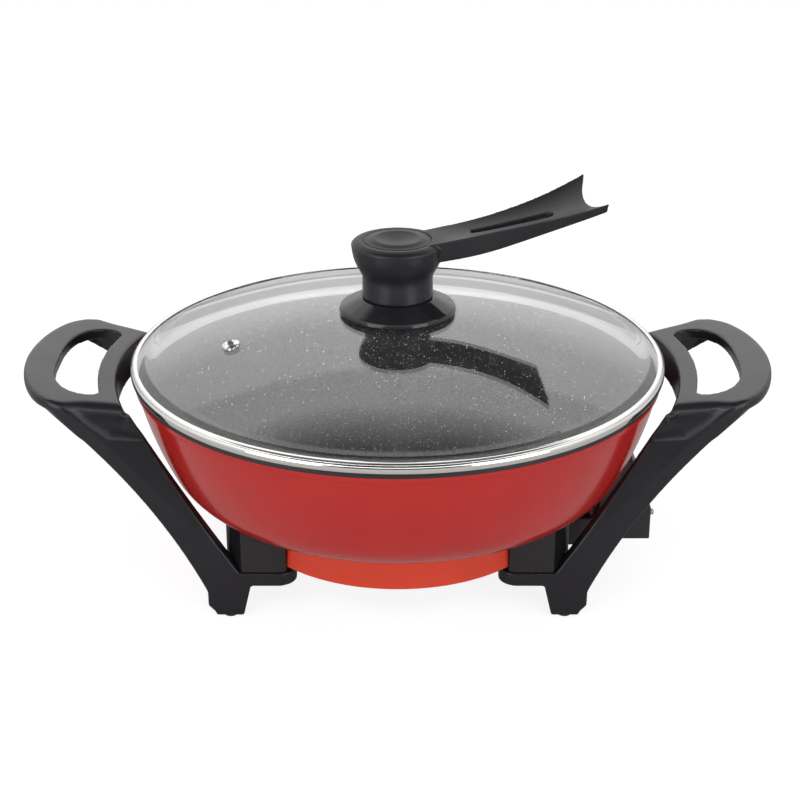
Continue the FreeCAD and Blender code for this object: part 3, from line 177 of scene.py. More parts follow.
def roughen_by(tree, shader, texture, rough):
    """Lets the roughness run from rough's first to its second value with a texture."""
    tree.links.new(spread(tree, texture, NOISE_LOW, NOISE_HIGH, *rough), shader.inputs["Roughness"])


# ---------------------------------------------------------------- materials

FINE_BUMP = 0.0001           # depths of the bumps, in metres
LINE_BUMP = 0.00005
CAST_BUMP = 0.0002
STEADY_LOW = 0.35            # narrower stops than the noise's, for colours that change in patches
STEADY_HIGH = 0.65
SIDE_FACING = 0.55           # a normal's Z where the painted dimmer reflection on top starts
TOP_FACING = 0.9             # and where that painted dimming is full
PAINTED_SPECK_GLOW = 0.22                 # painted glow: light that each coating speck gives off by itself, as if catching the lamps


def moulded_plastic(name, colour, rough, grain, shine=0.5, painted_top_shine=None):
    """Dark phenolic moulding: a fine grain and a slightly uneven sheen; on faces that look up, its
    reflection can be painted duller.
    """
    material, tree, shader = new_material(name)
    shader.inputs["Specular IOR Level"].default_value = shine
    if painted_top_shine is not None:
        # painted shade: the reflection is turned down on faces that look up, according to which way they
        # face
        normal = tree.nodes.new("ShaderNodeNewGeometry").outputs["Normal"]
        up = split_xyz(tree, normal)[2]
        level = spread(tree, up, SIDE_FACING, TOP_FACING, shine, painted_top_shine)
        tree.links.new(level, shader.inputs["Specular IOR Level"])
    lighter = tuple(channel * 1.25 for channel in colour)
    colour_by(tree, shader, noise(tree, 60.0), colour, lighter)
    roughen_by(tree, shader, noise(tree, 35.0, 4.0), rough)
    bump(tree, shader, noise(tree, 2600.0, 2.0), grain, FINE_BUMP)
    return material


def enamel(name, colour, deep, rough):
    """Baked enamel: a saturated coat with a faint orange peel."""
    material, tree, shader = new_material(name)
    colour_by(tree, shader, noise(tree, 25.0, 2.0), deep, colour, STEADY_LOW, STEADY_HIGH)
    roughen_by(tree, shader, noise(tree, 18.0), rough)
    bump(tree, shader, noise(tree, 420.0, 2.0), 0.05, FINE_BUMP)
    return material


def turned_metal(name, colour, rough, line_scale, metal=1.0):
    """Polished or machined metal with fine lines round the upright axis."""
    material, tree, shader = new_material(name)
    shader.inputs["Metallic"].default_value = metal
    shader.inputs["Base Color"].default_value = (*colour, 1.0)
    x, y, z = split_xyz(tree, place(tree))
    combine = tree.nodes.new("ShaderNodeCombineXYZ")
    tree.links.new(length_xy(tree, x, y), combine.inputs["X"])
    tree.links.new(z, combine.inputs["Z"])
    lines = tree.nodes.new("ShaderNodeTexNoise")
    lines.inputs["Scale"].default_value = line_scale
    lines.inputs["Detail"].default_value = 2.0
    tree.links.new(combine.outputs[0], lines.inputs["Vector"])
    roughen_by(tree, shader, lines.outputs["Fac"], rough)
    bump(tree, shader, lines.outputs["Fac"], 0.04, LINE_BUMP)
    return material


def specks(tree, scale, size, share, strength):
    """Round specks; share is how many of the cells hold one."""
    cells = tree.nodes.new("ShaderNodeTexVoronoi")
    cells.inputs["Scale"].default_value = scale
    cells.inputs["Randomness"].default_value = 1.0
    tree.links.new(place(tree), cells.inputs["Vector"])
    chosen = tree.nodes.new("ShaderNodeSeparateColor")
    tree.links.new(cells.outputs["Color"], chosen.inputs[0])
    spot = spread(tree, cells.outputs["Distance"], 0.6 * size, size, 1.0, 0.0)
    rare = spread(tree, chosen.outputs["Red"], 1.0 - share, 1.0 - 0.6 * share, 0.0, 1.0)
    return times(tree, times(tree, spot, rare), strength)


def nonstick(name):
    """Dark stone-effect coating with fine pale specks, large ones and faint small ones; the specks also
    carry a painted glint, a faint glow of their own.
    """
    material, tree, shader = new_material(name)
    large = specks(tree, 520.0, 0.24, 0.20, 1.0)
    small = specks(tree, 900.0, 0.27, 0.40, 0.5)
    amount = largest(tree, large, small)
    darker = (0.015, 0.016, 0.018)
    lighter = (0.021, 0.022, 0.024)
    base = ramp(tree, noise(tree, 90.0, 4.0), [(STEADY_LOW, darker), (STEADY_HIGH, lighter)])
    mix = tree.nodes.new("ShaderNodeMix")
    mix.data_type = "RGBA"
    tree.links.new(amount, mix.inputs["Factor"])
    tree.links.new(base, mix.inputs["A"])
    mix.inputs["B"].default_value = (0.85, 0.86, 0.88, 1.0)
    tree.links.new(mix.outputs["Result"], shader.inputs["Base Color"])
    # painted glint: the specks give off light of their own, whether or not a lamp reaches them
    shader.inputs["Emission Color"].default_value = (0.9, 0.93, 1.0, 1.0)
    tree.links.new(times(tree, amount, PAINTED_SPECK_GLOW), shader.inputs["Emission Strength"])
    shader.inputs["Specular IOR Level"].default_value = 0.3
    roughen_by(tree, shader, noise(tree, 140.0), (0.50, 0.60))
    bump(tree, shader, noise(tree, 900.0), 0.04, FINE_BUMP)
    return material


def clear_glass(name):
    """Tempered glass; lamps shine through it."""
    material, tree, shader = new_material(name)
    shader.inputs["Base Color"].default_value = (0.98, 0.98, 0.98, 1.0)
    shader.inputs["Transmission Weight"].default_value = 1.0
    shader.inputs["Roughness"].default_value = 0.0
    shader.inputs["IOR"].default_value = 1.5
    through = tree.nodes.new("ShaderNodeBsdfTransparent")
    through.inputs["Color"].default_value = (0.9, 0.9, 0.9, 1.0)
    lamp_ray = tree.nodes.new("ShaderNodeLightPath").outputs["Is Shadow Ray"]
    surface = choose(tree, lamp_ray, shader.outputs[0], through.outputs[0])
    tree.links.new(surface, tree.nodes["Material Output"].inputs["Surface"])
    return material


def plain_metal(name, colour, rough, grain):
    """Cast or drawn metal, slightly patchy."""
    material, tree, shader = new_material(name)
    shader.inputs["Metallic"].default_value = 1.0
    darker = tuple(channel * 0.8 for channel in colour)
    colour_by(tree, shader, noise(tree, 150.0, 5.0), darker, colour)
    roughen_by(tree, shader, noise(tree, 220.0), rough)
    bump(tree, shader, noise(tree, 1200.0), grain, CAST_BUMP)
    return material


def matt(name, colour, rough, grain_scale, grain):
    """A dull surface: rubber, ceramic, silicone or paint."""
    material, tree, shader = new_material(name)
    lighter = tuple(min(1.0, channel * 1.2) for channel in colour)
    colour_by(tree, shader, noise(tree, 120.0), colour, lighter, STEADY_LOW, STEADY_HIGH)
    shader.inputs["Roughness"].default_value = rough
    bump(tree, shader, noise(tree, grain_scale, 2.0), grain, CAST_BUMP)
    return material


RED = enamel("red_enamel", (0.46, 0.013, 0.009), (0.43, 0.011, 0.008), (0.13, 0.18))
ORANGE = enamel("ring_enamel", (0.77, 0.056, 0.020), (0.73, 0.050, 0.017), (0.30, 0.38))
BLACK_EDGE = matt("rim_black", (0.010, 0.010, 0.010), 0.45, 1500.0, 0.1)
COATING = nonstick("stone_coating")
MACHINED = turned_metal("machined_aluminium", (0.60, 0.60, 0.60), (0.32, 0.42), 900.0, metal=0.45)
STEEL = turned_metal("polished_steel", (0.72, 0.71, 0.69), (0.05, 0.09), 700.0)
GLASS = clear_glass("tempered_glass")
HANDLE = moulded_plastic("handle_plastic", (0.010, 0.010, 0.013), (0.27, 0.33), 0.08, shine=0.4)
RISER = moulded_plastic("riser_plastic", (0.010, 0.010, 0.012), (0.12, 0.16), 0.04)
# the knob's and the flange's tops get a painted, duller reflection
KNOB = moulded_plastic("knob_plastic", (0.014, 0.014, 0.017), (0.32, 0.38), 0.12, 0.42, painted_top_shine=0.13)
GLOSSY = moulded_plastic("flange_plastic", (0.013, 0.013, 0.015), (0.06, 0.09), 0.02, painted_top_shine=0.28)
HOUSING = moulded_plastic("housing_plastic", (0.018, 0.018, 0.021), (0.34, 0.42), 0.12)
CAST = plain_metal("cast_aluminium", (0.72, 0.73, 0.74), (0.34, 0.48), 0.3)
SCREW = plain_metal("screw_steel", (0.60, 0.60, 0.59), (0.24, 0.34), 0.1)
BRASS = plain_metal("brass", (0.72, 0.52, 0.24), (0.24, 0.34), 0.1)
TUBE = plain_metal("element_steel", (0.42, 0.40, 0.37), (0.34, 0.48), 0.2)
COVER = plain_metal("cover_steel", (0.66, 0.66, 0.66), (0.30, 0.42), 0.1)
CERAMIC = matt("white_ceramic", (0.78, 0.76, 0.71), 0.55, 900.0, 0.1)
RUBBER = matt("pad_rubber", (0.030, 0.030, 0.031), 0.75, 1400.0, 0.3)
SILICONE = matt("gasket_silicone", (0.62, 0.60, 0.57), 0.5, 900.0, 0.1)


# ---------------------------------------------------------------- geometry helpers

def finish_mesh(name, mesh, materials, body, slot, *replaced):
    """Puts a new mesh into the scene as a piece of the object."""
    obj = bpy.data.objects.new(name, mesh)
    bpy.context.scene.collection.objects.link(obj)
    for material in materials:
        mesh.materials.append(material)
    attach(obj, body)
    if replaced:
        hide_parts(*replaced)
    return obj


def turned_size(low, high):
    """Outer radius, bottom and top of a turned node, from its box."""
    return high.x / MM, low.z / MM, high.z / MM


def arc_points(centre, radius, start, end, count):
    """Points of an arc in the (r, z) plane; angles in degrees."""
    points = []
    for i in range(count + 1):
        turn = math.radians(start + (end - start) * i / count)
        points.append((centre[0] + radius * math.cos(turn), centre[1] + radius * math.sin(turn)))
    return points


def round_corners(corners, radii, steps=5):
    """A closed (r, z) outline with its corners rounded; a radius of 0 leaves a corner sharp."""
    outline = []
    count = len(corners)
    for i in range(count):
        here = Vector(corners[i])
        before = Vector(corners[i - 1]) - here
        after = Vector(corners[(i + 1) % count]) - here
        radius = radii[i]
        if radius <= 0:
            outline.append(tuple(here))
            continue
        angle = before.angle(after)
        reach = min(radius / math.tan(0.5 * angle), 0.49 * before.length, 0.49 * after.length)
        start = here + before.normalized() * reach
        end = here + after.normalized() * reach
        for k in range(steps + 1):
            t = k / steps
            outline.append(tuple(start * (1 - t) ** 2 + here * 2 * t * (1 - t) + end * t ** 2))
    return outline


def lathe(outline, segments, closed, sharp_angle, indices=None):
    """A turned mesh from an (r, z) outline; edges over sharp_angle stay crisp, indices give materials."""
    mesh = bpy.data.meshes.new("turned")
    work = bmesh.new()
    rings = []
    for r, z in outline:
        if r < 1e-6:
            rings.append([work.verts.new((0, 0, z * MM))])
            continue
        ring = []
        for i in range(segments):
            turn = 2 * math.pi * i / segments
            ring.append(work.verts.new((r * MM * math.cos(turn), r * MM * math.sin(turn), z * MM)))
        rings.append(ring)
    spans = len(outline) if closed else len(outline) - 1
    for k in range(spans):
        a = rings[k]
        b = rings[(k + 1) % len(rings)]
        if len(a) == 1 and len(b) == 1:
            continue
        for i in range(segments):
            j = (i + 1) % segments
            corners = []
            for vertex in (a[i % len(a)], a[j % len(a)], b[j % len(b)], b[i % len(b)]):
                if vertex not in corners:
                    corners.append(vertex)
            face = work.faces.new(corners)
            face.smooth = True
            if indices:
                face.material_index = indices[k]
    bmesh.ops.recalc_face_normals(work, faces=work.faces)
    work.to_mesh(mesh)
    work.free()
    mesh.set_sharp_from_angle(angle=math.radians(sharp_angle))
    return mesh


def add_hull(mesh, corners):
    """Adds the convex body round some corners to a mesh."""
    work = bmesh.new()
    work.from_mesh(mesh)
    points = [work.verts.new(Vector(corner) * MM) for corner in corners]
    bmesh.ops.convex_hull(work, input=points)
    bmesh.ops.recalc_face_normals(work, faces=work.faces)
    work.to_mesh(mesh)
    work.free()


def bake(obj):
    """Applies an object's modifiers."""
    graph = bpy.context.evaluated_depsgraph_get()
    graph.update()
    evaluated = obj.evaluated_get(graph)
    mesh = bpy.data.meshes.new_from_object(evaluated)
    obj.modifiers.clear()
    old = obj.data
    obj.data = mesh
    bpy.data.meshes.remove(old)
    for polygon in mesh.polygons:
        polygon.use_smooth = True


def add_smoothing(obj, passes):
    smooth = obj.modifiers.new("smooth", "SMOOTH")
    smooth.factor = 0.5
    smooth.iterations = passes
    return smooth


WELD_REACH = 0.00001         # in metres: points nearer than this are one
EVEN_PASSES = 8              # takes the remesh's steps away


def soft_copy(node, material, slot, voxel, passes, fillers=()):
    """Replaces a moulded node by a copy of itself with softly rounded edges.

    Fillers are lists of corners of bodies to add. Without any, the copy is drawn back to the node's faces.
    """
    source = nodes[node]
    mesh = source.data.copy()
    mesh.materials.clear()
    for corners in fillers:
        add_hull(mesh, corners)
    obj = finish_mesh(node + "_moulding", mesh, [material], source["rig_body"], slot, node)
    weld = obj.modifiers.new("weld", "WELD")
    weld.merge_threshold = WELD_REACH
    remesh = obj.modifiers.new("remesh", "REMESH")
    remesh.mode = "VOXEL"
    remesh.voxel_size = voxel * MM
    remesh.use_smooth_shade = True
    add_smoothing(obj, EVEN_PASSES)
    if not fillers:
        hug = obj.modifiers.new("hug", "SHRINKWRAP")
        hug.target = source
        hug.wrap_method = "NEAREST_SURFACEPOINT"
    add_smoothing(obj, passes)
    bake(obj)
    return obj


def blend(obj, weight, passes):
    """Smooths a part of a mesh further; weight gives each point's share, 0 to 1, from its place in mm."""
    least = 0.01
    group = obj.vertex_groups.new(name="blend")
    for vertex in obj.data.vertices:
        share = weight(vertex.co / MM)
        if share > least:
            group.add([vertex.index], share, "REPLACE")
    add_smoothing(obj, passes).vertex_group = "blend"
    bake(obj)
    obj.vertex_groups.clear()


def fade(value, start, full):
    """0 at start, 1 at full, with a soft run between."""
    t = min(1.0, max(0.0, (value - start) / (full - start)))
    return t * t * (3.0 - 2.0 * t)


def between(table, value):
    """Reads a table of (value, result) pairs, with straight runs between them."""
    if value <= table[0][0]:
        return table[0][1]
    for (low, first), (high, second) in zip(table, table[1:]):
        if value <= high:
            return first + (second - first) * (value - low) / (high - low)
    return table[-1][1]


# ---------------------------------------------------------------- bowl

BOWL_BOTTOM_Z = 64.7
FLAT_R = 111.5               # of the flat part of the bottom
SHOULDER_R = 41.0            # radius of the curve from the bottom into the side
SHOULDER_TURN = 64.0         # degrees from level where the side's own curve takes over
SIDE_R = 231.0               # radius of that curve
SIDE_TURN = 78.0             # degrees from level at the mouth
WALL = 3.2
BEAD_ROUND = 0.9             # radius of the rim bead's edges
BEAD_UNDER = 1.0             # how far the bead reaches below the mouth
BEAD_ROOT = 0.3              # how far inside the mouth's radius its underside starts
BEAD_GAP = 0.2               # least height between the side's points and the bead
RIM_RED_TOP_Z = 143.3        # red enamel below, black above
LEDGE_DEPTH = 9.5            # from the rim's top down to the end of the machined stretch
LEDGE_STEP = 0.7             # width and height of the steps at that end
LEDGE_GAP = 0.3              # least height between the inside's points and that end
LIP_CHAMFER = 0.4


def bowl_side(offset):
    """Points up the bowl's side, moved outward by offset, from the flat bottom to the mouth."""
    count = 14
    bottom = (FLAT_R, BOWL_BOTTOM_Z + SHOULDER_R)
    points = arc_points(bottom, SHOULDER_R + offset, -90, -90 + SHOULDER_TURN, count)
    bend = math.radians(SHOULDER_TURN)
    join_r = FLAT_R + SHOULDER_R * math.sin(bend)
    join_z = BOWL_BOTTOM_Z + SHOULDER_R * (1 - math.cos(bend))
    centre = (join_r - SIDE_R * math.sin(bend), join_z + SIDE_R * math.cos(bend))
    side = arc_points(centre, SIDE_R + offset, -90 + SHOULDER_TURN, -90 + SIDE_TURN, count)
    return points + side[1:]


def make_bowl():
    """Red shell, black rim, machined ledges inside the mouth and the coated inside."""
    bead_r, _, top = turned_size(*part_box("bowl"))
    side = bowl_side(0.0)
    mouth_r, mouth_z = side[-1]
    bead_low = mouth_z - BEAD_UNDER
    ledge_r = mouth_r - WALL
    ledge_z = top - LEDGE_DEPTH
    step = LEDGE_STEP
    lip_r = ledge_r + 2 * step
    bead_centre_r = bead_r - BEAD_ROUND
    red = [(0.0, BOWL_BOTTOM_Z)]
    red += [point for point in side if point[1] < bead_low - BEAD_GAP]
    red += [(mouth_r - BEAD_ROOT, bead_low)]
    red += arc_points((bead_centre_r, bead_low + BEAD_ROUND), BEAD_ROUND, -90, 0, 4)
    black = [(bead_r, RIM_RED_TOP_Z)]
    black += arc_points((bead_centre_r, top - BEAD_ROUND), BEAD_ROUND, 0, 90, 4)
    bright = [(lip_r + LIP_CHAMFER, top), (lip_r, top - LIP_CHAMFER)]
    bright += round_corners([
        (lip_r, ledge_z + 3 * step), (lip_r - step, ledge_z + 2 * step), (lip_r - step, ledge_z + step),
        (ledge_r, ledge_z),
    ], [0.2, 0.2, 0.2, 0.0], 3)
    inside = [point for point in bowl_side(-WALL) if point[1] < ledge_z - LEDGE_GAP]
    inside.reverse()
    inside += [(0.0, BOWL_BOTTOM_Z + WALL)]
    stretches = (red, black, bright, inside)
    outline = red + black + bright + inside
    indices = []
    for index, stretch in enumerate(stretches):
        indices += [index] * len(stretch)
    mesh = lathe(outline, segments=384, closed=False, sharp_angle=35, indices=indices)
    finish_mesh("bowl_shell", mesh, [RED, BLACK_EDGE, MACHINED, COATING], "base", "bowl", "bowl")


RING_T = 2.5
RING_TAPER = 2.0             # how much narrower its top is, in radius


def make_ring():
    """The skirt ring; its outside leans inward, and its inside follows near the top."""
    r, bottom, top = turned_size(*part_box("skirt_ring"))
    inner_r = r - RING_TAPER - RING_T
    outline = round_corners([
        (r - RING_T, bottom), (r, bottom), (r - RING_TAPER, top), (inner_r, top), (inner_r, top - RING_T),
        (r - RING_T, top - RING_TAPER - RING_T),
    ], [0.5, 1.2, 0.6, 0.3, 0.3, 0.3])
    mesh = lathe(outline, segments=256, closed=True, sharp_angle=40)
    finish_mesh("heater_ring", mesh, [ORANGE], "base", "skirt_ring", "skirt_ring")


make_bowl()
make_ring()


# ---------------------------------------------------------------- lid

BAND_H = 6.0                 # height of the band's face
BAND_T = 0.8
BAND_ROUND = 2.4             # radius of its upper edge
BAND_GLASS_GAP = 0.3         # from the band's inside to the glass's edge
BAND_LIP_GAP = 0.05          # from the band's lip down to the glass
BAND_LIP_W = 4.6             # how far in the lip reaches
BAND_FOOT_W = 5.4            # how far in the fold under the glass reaches
DOME_INSET = 5.0             # from the band's outside in to where the dome starts
GLASS_T = 3.6
GLASS_HOLE_R = 4.2           # of the hole for the knob's screw


def make_lid_glass():
    """The dome; its edge lies under the band's lip and is thinner than its middle."""
    edge_r, under, top = turned_size(*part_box("lid_glass"))
    band_bottom = turned_size(*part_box("lid_band"))[1]
    edge_z = band_bottom + BAND_H - BAND_T - BAND_LIP_GAP
    dome_r = edge_r + BAND_T + BAND_GLASS_GAP - DOME_INSET
    rise = top - edge_z
    radius = (dome_r * dome_r + rise * rise) / (2 * rise)
    count = 40
    upper = []
    lower = []
    for i in range(count + 1):
        r = GLASS_HOLE_R + (dome_r - GLASS_HOLE_R) * i / count
        z = top - radius + math.sqrt(radius * radius - r * r)
        upper.append((r, z))
        lower.append((r, max(z - GLASS_T, under)))
    rim = round_corners(
        [upper[-1], (edge_r, edge_z), (edge_r, under), (dome_r, under)],
        [0.0, 0.6, 0.4, 0.0],
    )
    outline = upper[:-1] + rim[:-1] + lower[::-1]
    mesh = lathe(outline, segments=256, closed=True, sharp_angle=50)
    finish_mesh("glass_dome", mesh, [GLASS], "lid", "glass", "lid_glass")


def make_lid_band():
    """The steel band: a fold under the glass, a rounded face and a lip on top."""
    r, bottom, _ = turned_size(*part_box("lid_band"))
    top = bottom + BAND_H
    round_r = r - BAND_ROUND
    outline = [(r - BAND_FOOT_W, bottom), (r - 0.9, bottom), (r - 0.4, bottom + 0.4)]
    outline += round_corners(
        [(r - 0.2, bottom + 1.0), (r, top - BAND_ROUND), (round_r, top), (r - BAND_LIP_W + 0.2, top)],
        [0.0, 2.6, BAND_ROUND, 0.0], 8,
    )
    outline += [(r - BAND_LIP_W, top - 0.2), (r - BAND_LIP_W, top - BAND_T)]
    outline += arc_points((round_r, top - BAND_ROUND), BAND_ROUND - BAND_T, 90, 0, 8)
    outline += [(r - BAND_T, bottom + BAND_T), (r - BAND_FOOT_W, bottom + BAND_T)]
    mesh = lathe(outline, segments=384, closed=True, sharp_angle=35)
    finish_mesh("steel_band", mesh, [STEEL], "lid", "lid_band", "lid_band")


make_lid_glass()
make_lid_band()


# ---------------------------------------------------------------- handle mouldings

# On an arm, a place is given by three distances: out from the rim bead, up from its top, and inward from
# the arms' outside faces.
RIM_R = 167.7
RIM_Z = 146.5
ARMS_HALF_WIDTH = 74.0
ARM_T = 10.0

# The loop's top surface, seen from the side: its height runs on a shallow curve through the start and
# the point at LOOP_TOP_MIDDLE.
LOOP_TOP_START = (-8.8, -6.5)           # (out, up)
LOOP_TOP_MIDDLE = 34.2                  # out
LOOP_TOP_SLOPE = 0.1767                 # rise per millimetre between those two
LOOP_TOP_BEND = -0.00115                # the curve is above that line between the two, below it beyond
# (out, inward) along the loop's side wall
LOOP_WALL = ((-1.4, 8.0), (35.2, 0.2), (49.2, 7.0), (58.7, 21.0))
ROLL_R = 8.5                 # radius of the loop's upper edge above an arm
ROLL_FADE = (52.0, 20.0)     # how far out it has no radius, and its full one
ROLL_LAG = 0.134             # how far in the rolled edge is at half its height, in radii
ROLL_SLOPE = 0.577           # how fast it still moves outward there

# An arm's scooped face gets deeper with the distance above its outer border.
FACE_START = (32.7, -2.5)    # (out, up) where that border starts
FACE_DROP = 1.093            # how steeply it falls
FACE_LEAN = 0.675            # from a height above it to a distance from it
FACE_DEPTH = 0.3556          # depth per millimetre of that distance

# (out, up) along the lower border of the hollow under the loop
HOLLOW_BORDER = ((-16.0, -27.0), (-4.4, -25.7), (7.8, -23.5), (20.5, -13.5), (32.7, -2.5))
HOLLOW_LEAST = 2.0           # its least height
HOLLOW_SINK = (1.5, 3.5)     # depth below the loop's top where it sets in, and where it is full
HOLLOW_FADE = (34.0, 24.0)   # how far out it ends, and how far out it is full
LIP_SLOPE = 0.75             # how fast it moves outward at its lower border

# shape_saddle moves only the points within these distances
SADDLE_OUT = (-18.0, 56.0)
SADDLE_DEEPEST = 18.0
SADDLE_LOWEST = -28.0

# (out, up, inward) of the corners of two bodies that fill the gaps between an arm and the loop
SADDLE_FILL = (
    (33.0, -1.7, 0.75), (33.0, -1.7, 9.5), (-1.2, -7.8, 8.0), (-1.2, -7.8, 10.0),
    (27.0, -9.0, 2.0), (27.0, -9.0, 9.5), (-4.5, -17.0, 8.7), (-4.5, -17.0, 9.9),
)
SHOULDER_FILL = (
    (44.0, -2.0, 3.0), (44.0, -2.0, 9.5), (50.5, -4.5, 13.0), (46.0, -9.5, 13.0), (38.0, -9.5, 0.8),
    (38.0, -9.5, 9.5), (24.0, -23.5, 0.1), (24.0, -23.5, 9.5), (30.0, -4.0, 0.6),
)


def from_arm(point):
    """Distances out, up and inward of a point."""
    return abs(point.x) - RIM_R, point.z - RIM_Z, ARMS_HALF_WIDTH - abs(point.y)


def on_arm(corners, x_sign, y_sign):
    """Points on one of the four arms, from their distances."""
    spots = []
    for out, up, inward in corners:
        spots.append((x_sign * (RIM_R + out), y_sign * (ARMS_HALF_WIDTH - inward), RIM_Z + up))
    return spots


def loop_top(out):
    """Height of the loop's top surface."""
    run = out - LOOP_TOP_START[0]
    return LOOP_TOP_START[1] + LOOP_TOP_SLOPE * run + LOOP_TOP_BEND * run * (out - LOOP_TOP_MIDDLE)


def face_inset(out, up):
    """How far in an arm's scooped outside face lies."""
    border = FACE_START[1] - FACE_DROP * (FACE_START[0] - out)
    return max(0.0, (up - border) * FACE_LEAN * FACE_DEPTH)


def hollow_inset(out, up):
    """How far in the hollow under the loop lies: it runs on from the rolled edge to its lower border."""
    start = loop_top(out) - 0.5 * ROLL_R
    first = between(LOOP_WALL, out) + ROLL_LAG * ROLL_R
    if up >= start:
        return first
    border = min(between(HOLLOW_BORDER, out), start - HOLLOW_LEAST)
    length = start - border
    last = face_inset(out, border)
    t = min(1.0, (start - up) / length)
    level = first + (last - first) * t * t * (3.0 - 2.0 * t)
    outward = length * (ROLL_SLOPE * t * (1.0 - t) * (1.0 - t) - LIP_SLOPE * t * t * (1.0 - t))
    return level - outward


def shape_saddle(obj):
    """Rolls the loop's edge over and hollows the arms' faces under it."""
    for vertex in obj.data.vertices:
        point = vertex.co / MM
        out, up, inward = from_arm(point)
        if not (SADDLE_OUT[0] < out < SADDLE_OUT[1] and inward < SADDLE_DEEPEST and up > SADDLE_LOWEST):
            continue
        below = loop_top(out) - up
        wall = between(LOOP_WALL, out)
        if up > between(HOLLOW_BORDER, out) and inward < ARM_T:
            face = min(wall, face_inset(out, up))
            share = fade(below, *HOLLOW_SINK) * fade(out, *HOLLOW_FADE)
            target = face + (hollow_inset(out, up) - face) * share
            inward = target + (inward - face) * (ARM_T - target) / (ARM_T - face)
        radius = ROLL_R * fade(out, *ROLL_FADE)
        across = inward - wall - radius
        down = below - radius
        length = math.hypot(across, down)
        if across < 0.0 and down < -0.5 * radius and length > radius > 0.5:
            inward = wall + radius + across * radius / length
            below = radius + down * radius / length
        point.y = math.copysign(ARMS_HALF_WIDTH - inward, point.y)
        point.z = RIM_Z + loop_top(out) - below
        vertex.co = point * MM


def at_saddle(point):
    """How near a point is to where an arm runs into the loop."""
    out, up, inward = from_arm(point)
    return fade(out, -14.0, 0.0) * fade(out, 58.0, 40.0) * fade(inward, 20.0, 12.0) * fade(up, -34.0, -22.0)


def at_shoulder(point):
    """How near a point is to the two corners where the loop's outline leaves an arm."""
    out, up, inward = from_arm(point)
    outer = fade(out, 22.0, 30.0) * fade(out, 56.0, 48.0) * fade(up, -20.0, -14.0)
    inner = fade(out, 3.0, -1.0) * fade(up, -5.0, -8.0) * fade(up, -24.0, -18.0)
    return fade(inward, 18.0, 13.0) * max(outer, inner)


for side, x_sign in (("left", -1), ("right", 1)):
    bodies = []
    for y_sign in (-1, 1):
        bodies.append(on_arm(SADDLE_FILL, x_sign, y_sign))
        bodies.append(on_arm(SHOULDER_FILL, x_sign, y_sign))
    frame_node = "handle_frame_" + side
    moulding = soft_copy(frame_node, HANDLE, "handle_plastic", voxel=0.7, passes=4, fillers=bodies)
    shape_saddle(moulding)
    blend(moulding, at_saddle, passes=10)
    blend(moulding, at_shoulder, passes=24)
    for end in ("front", "rear"):
        soft_copy("riser_" + end + "_" + side, RISER, "handle_plastic", voxel=0.6, passes=3)
soft_copy("socket_housing", HOUSING, "housing_plastic", voxel=0.6, passes=3)


# ---------------------------------------------------------------- knob

CUP_REACH = 28.0             # beyond this radius lies the grip
NECK = (196.0, 203.0, 209.0, 216.0)     # heights: blend starts, full, full, ends
CAP_RING_R = 14.6            # crest of the ring round the cap's dish
FLANGE_CREST_R = 24.0        # where the flange's flat top ends
FLANGE_BELLY_R = 32.6        # where its slope turns down to the edge
FLANGE_BOSS_R = 9.0          # of the boss in the middle of its hollow
FLANGE_HOLE_R = 2.8          # of the hole through that boss


def at_neck(point):
    """How near a point of the knob is to where its cup meets the column."""
    if math.hypot(point.x, point.y) > CUP_REACH:
        return 0.0
    return fade(point.z, NECK[0], NECK[1]) * fade(point.z, NECK[3], NECK[2])


def make_knob_cap():
    """A disc with a soft raised ring round a shallow dish."""
    r, bottom, top = turned_size(*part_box("knob_cap"))
    outline = [(0.0, bottom), (r - 0.3, bottom), (r, bottom + 0.3), (r, top - 1.6), (r - 0.2, top - 1.4)]
    outline += round_corners([
        (r - 0.6, top - 1.35), (r - 2.6, top - 1.2), (CAP_RING_R, top), (0.0, top - 3.6),
    ], [0.0, 2.0, 5.0, 0.0], 10)[:-1]
    outline += [(4.0, top - 2.35), (0.0, top - 2.45)]
    mesh = lathe(outline, segments=192, closed=False, sharp_angle=40)
    finish_mesh("cap_disc", mesh, [KNOB], "lid", "cap_plastic", "knob_cap")


def make_knob_flange():
    """The glossy bell under the knob, hollow below round a boss."""
    r, bottom, top = turned_size(*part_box("knob_flange"))
    outside = round_corners([
        (22.4, top), (FLANGE_CREST_R, top), (FLANGE_BELLY_R, bottom + 5.8), (r, bottom + 3.6), (r, bottom),
        (r - 3.0, bottom),
    ], [0.0, 1.2, 5.0, 3.2, 1.6, 0.0], 8)
    inside = [
        (r - 5.2, bottom + 3.0), (21.6, top - 3.0), (FLANGE_BOSS_R, top - 3.0),
        (FLANGE_BOSS_R, bottom + 1.5),
    ]
    hole = [(FLANGE_HOLE_R, bottom + 1.5), (FLANGE_HOLE_R, top)]
    mesh = lathe(outside + inside + hole, segments=256, closed=True, sharp_angle=40)
    finish_mesh("glossy_flange", mesh, [GLOSSY], "lid", "knob_plastic", "knob_flange")


knob = soft_copy("lid_handle", KNOB, "knob_plastic", voxel=0.55, passes=3)
blend(knob, at_neck, passes=120)
make_knob_cap()
make_knob_flange()


# ---------------------------------------------------------------- carried-over nodes

for node, material in (
    ("heater_plate", CAST), ("heating_element", TUBE), ("base_cover", COVER), ("base_cover_screws", SCREW),
    ("terminal_pins", SCREW), ("terminal_beads", CERAMIC), ("probe_sleeve", SCREW), ("socket_bosses", CAST),
    ("socket_screws", SCREW), ("earth_contact", SCREW), ("mounting_studs", CAST), ("frame_screws", SCREW),
    ("foot_pads", RUBBER), ("steam_vent", STEEL), ("knob_insert", BRASS), ("knob_screw", SCREW),
    ("knob_washer", SCREW), ("knob_gaskets", SILICONE),
):
    carried = nodes[node].data
    carried.materials.clear()
    carried.materials.append(material)


# ---------------------------------------------------------------- stage

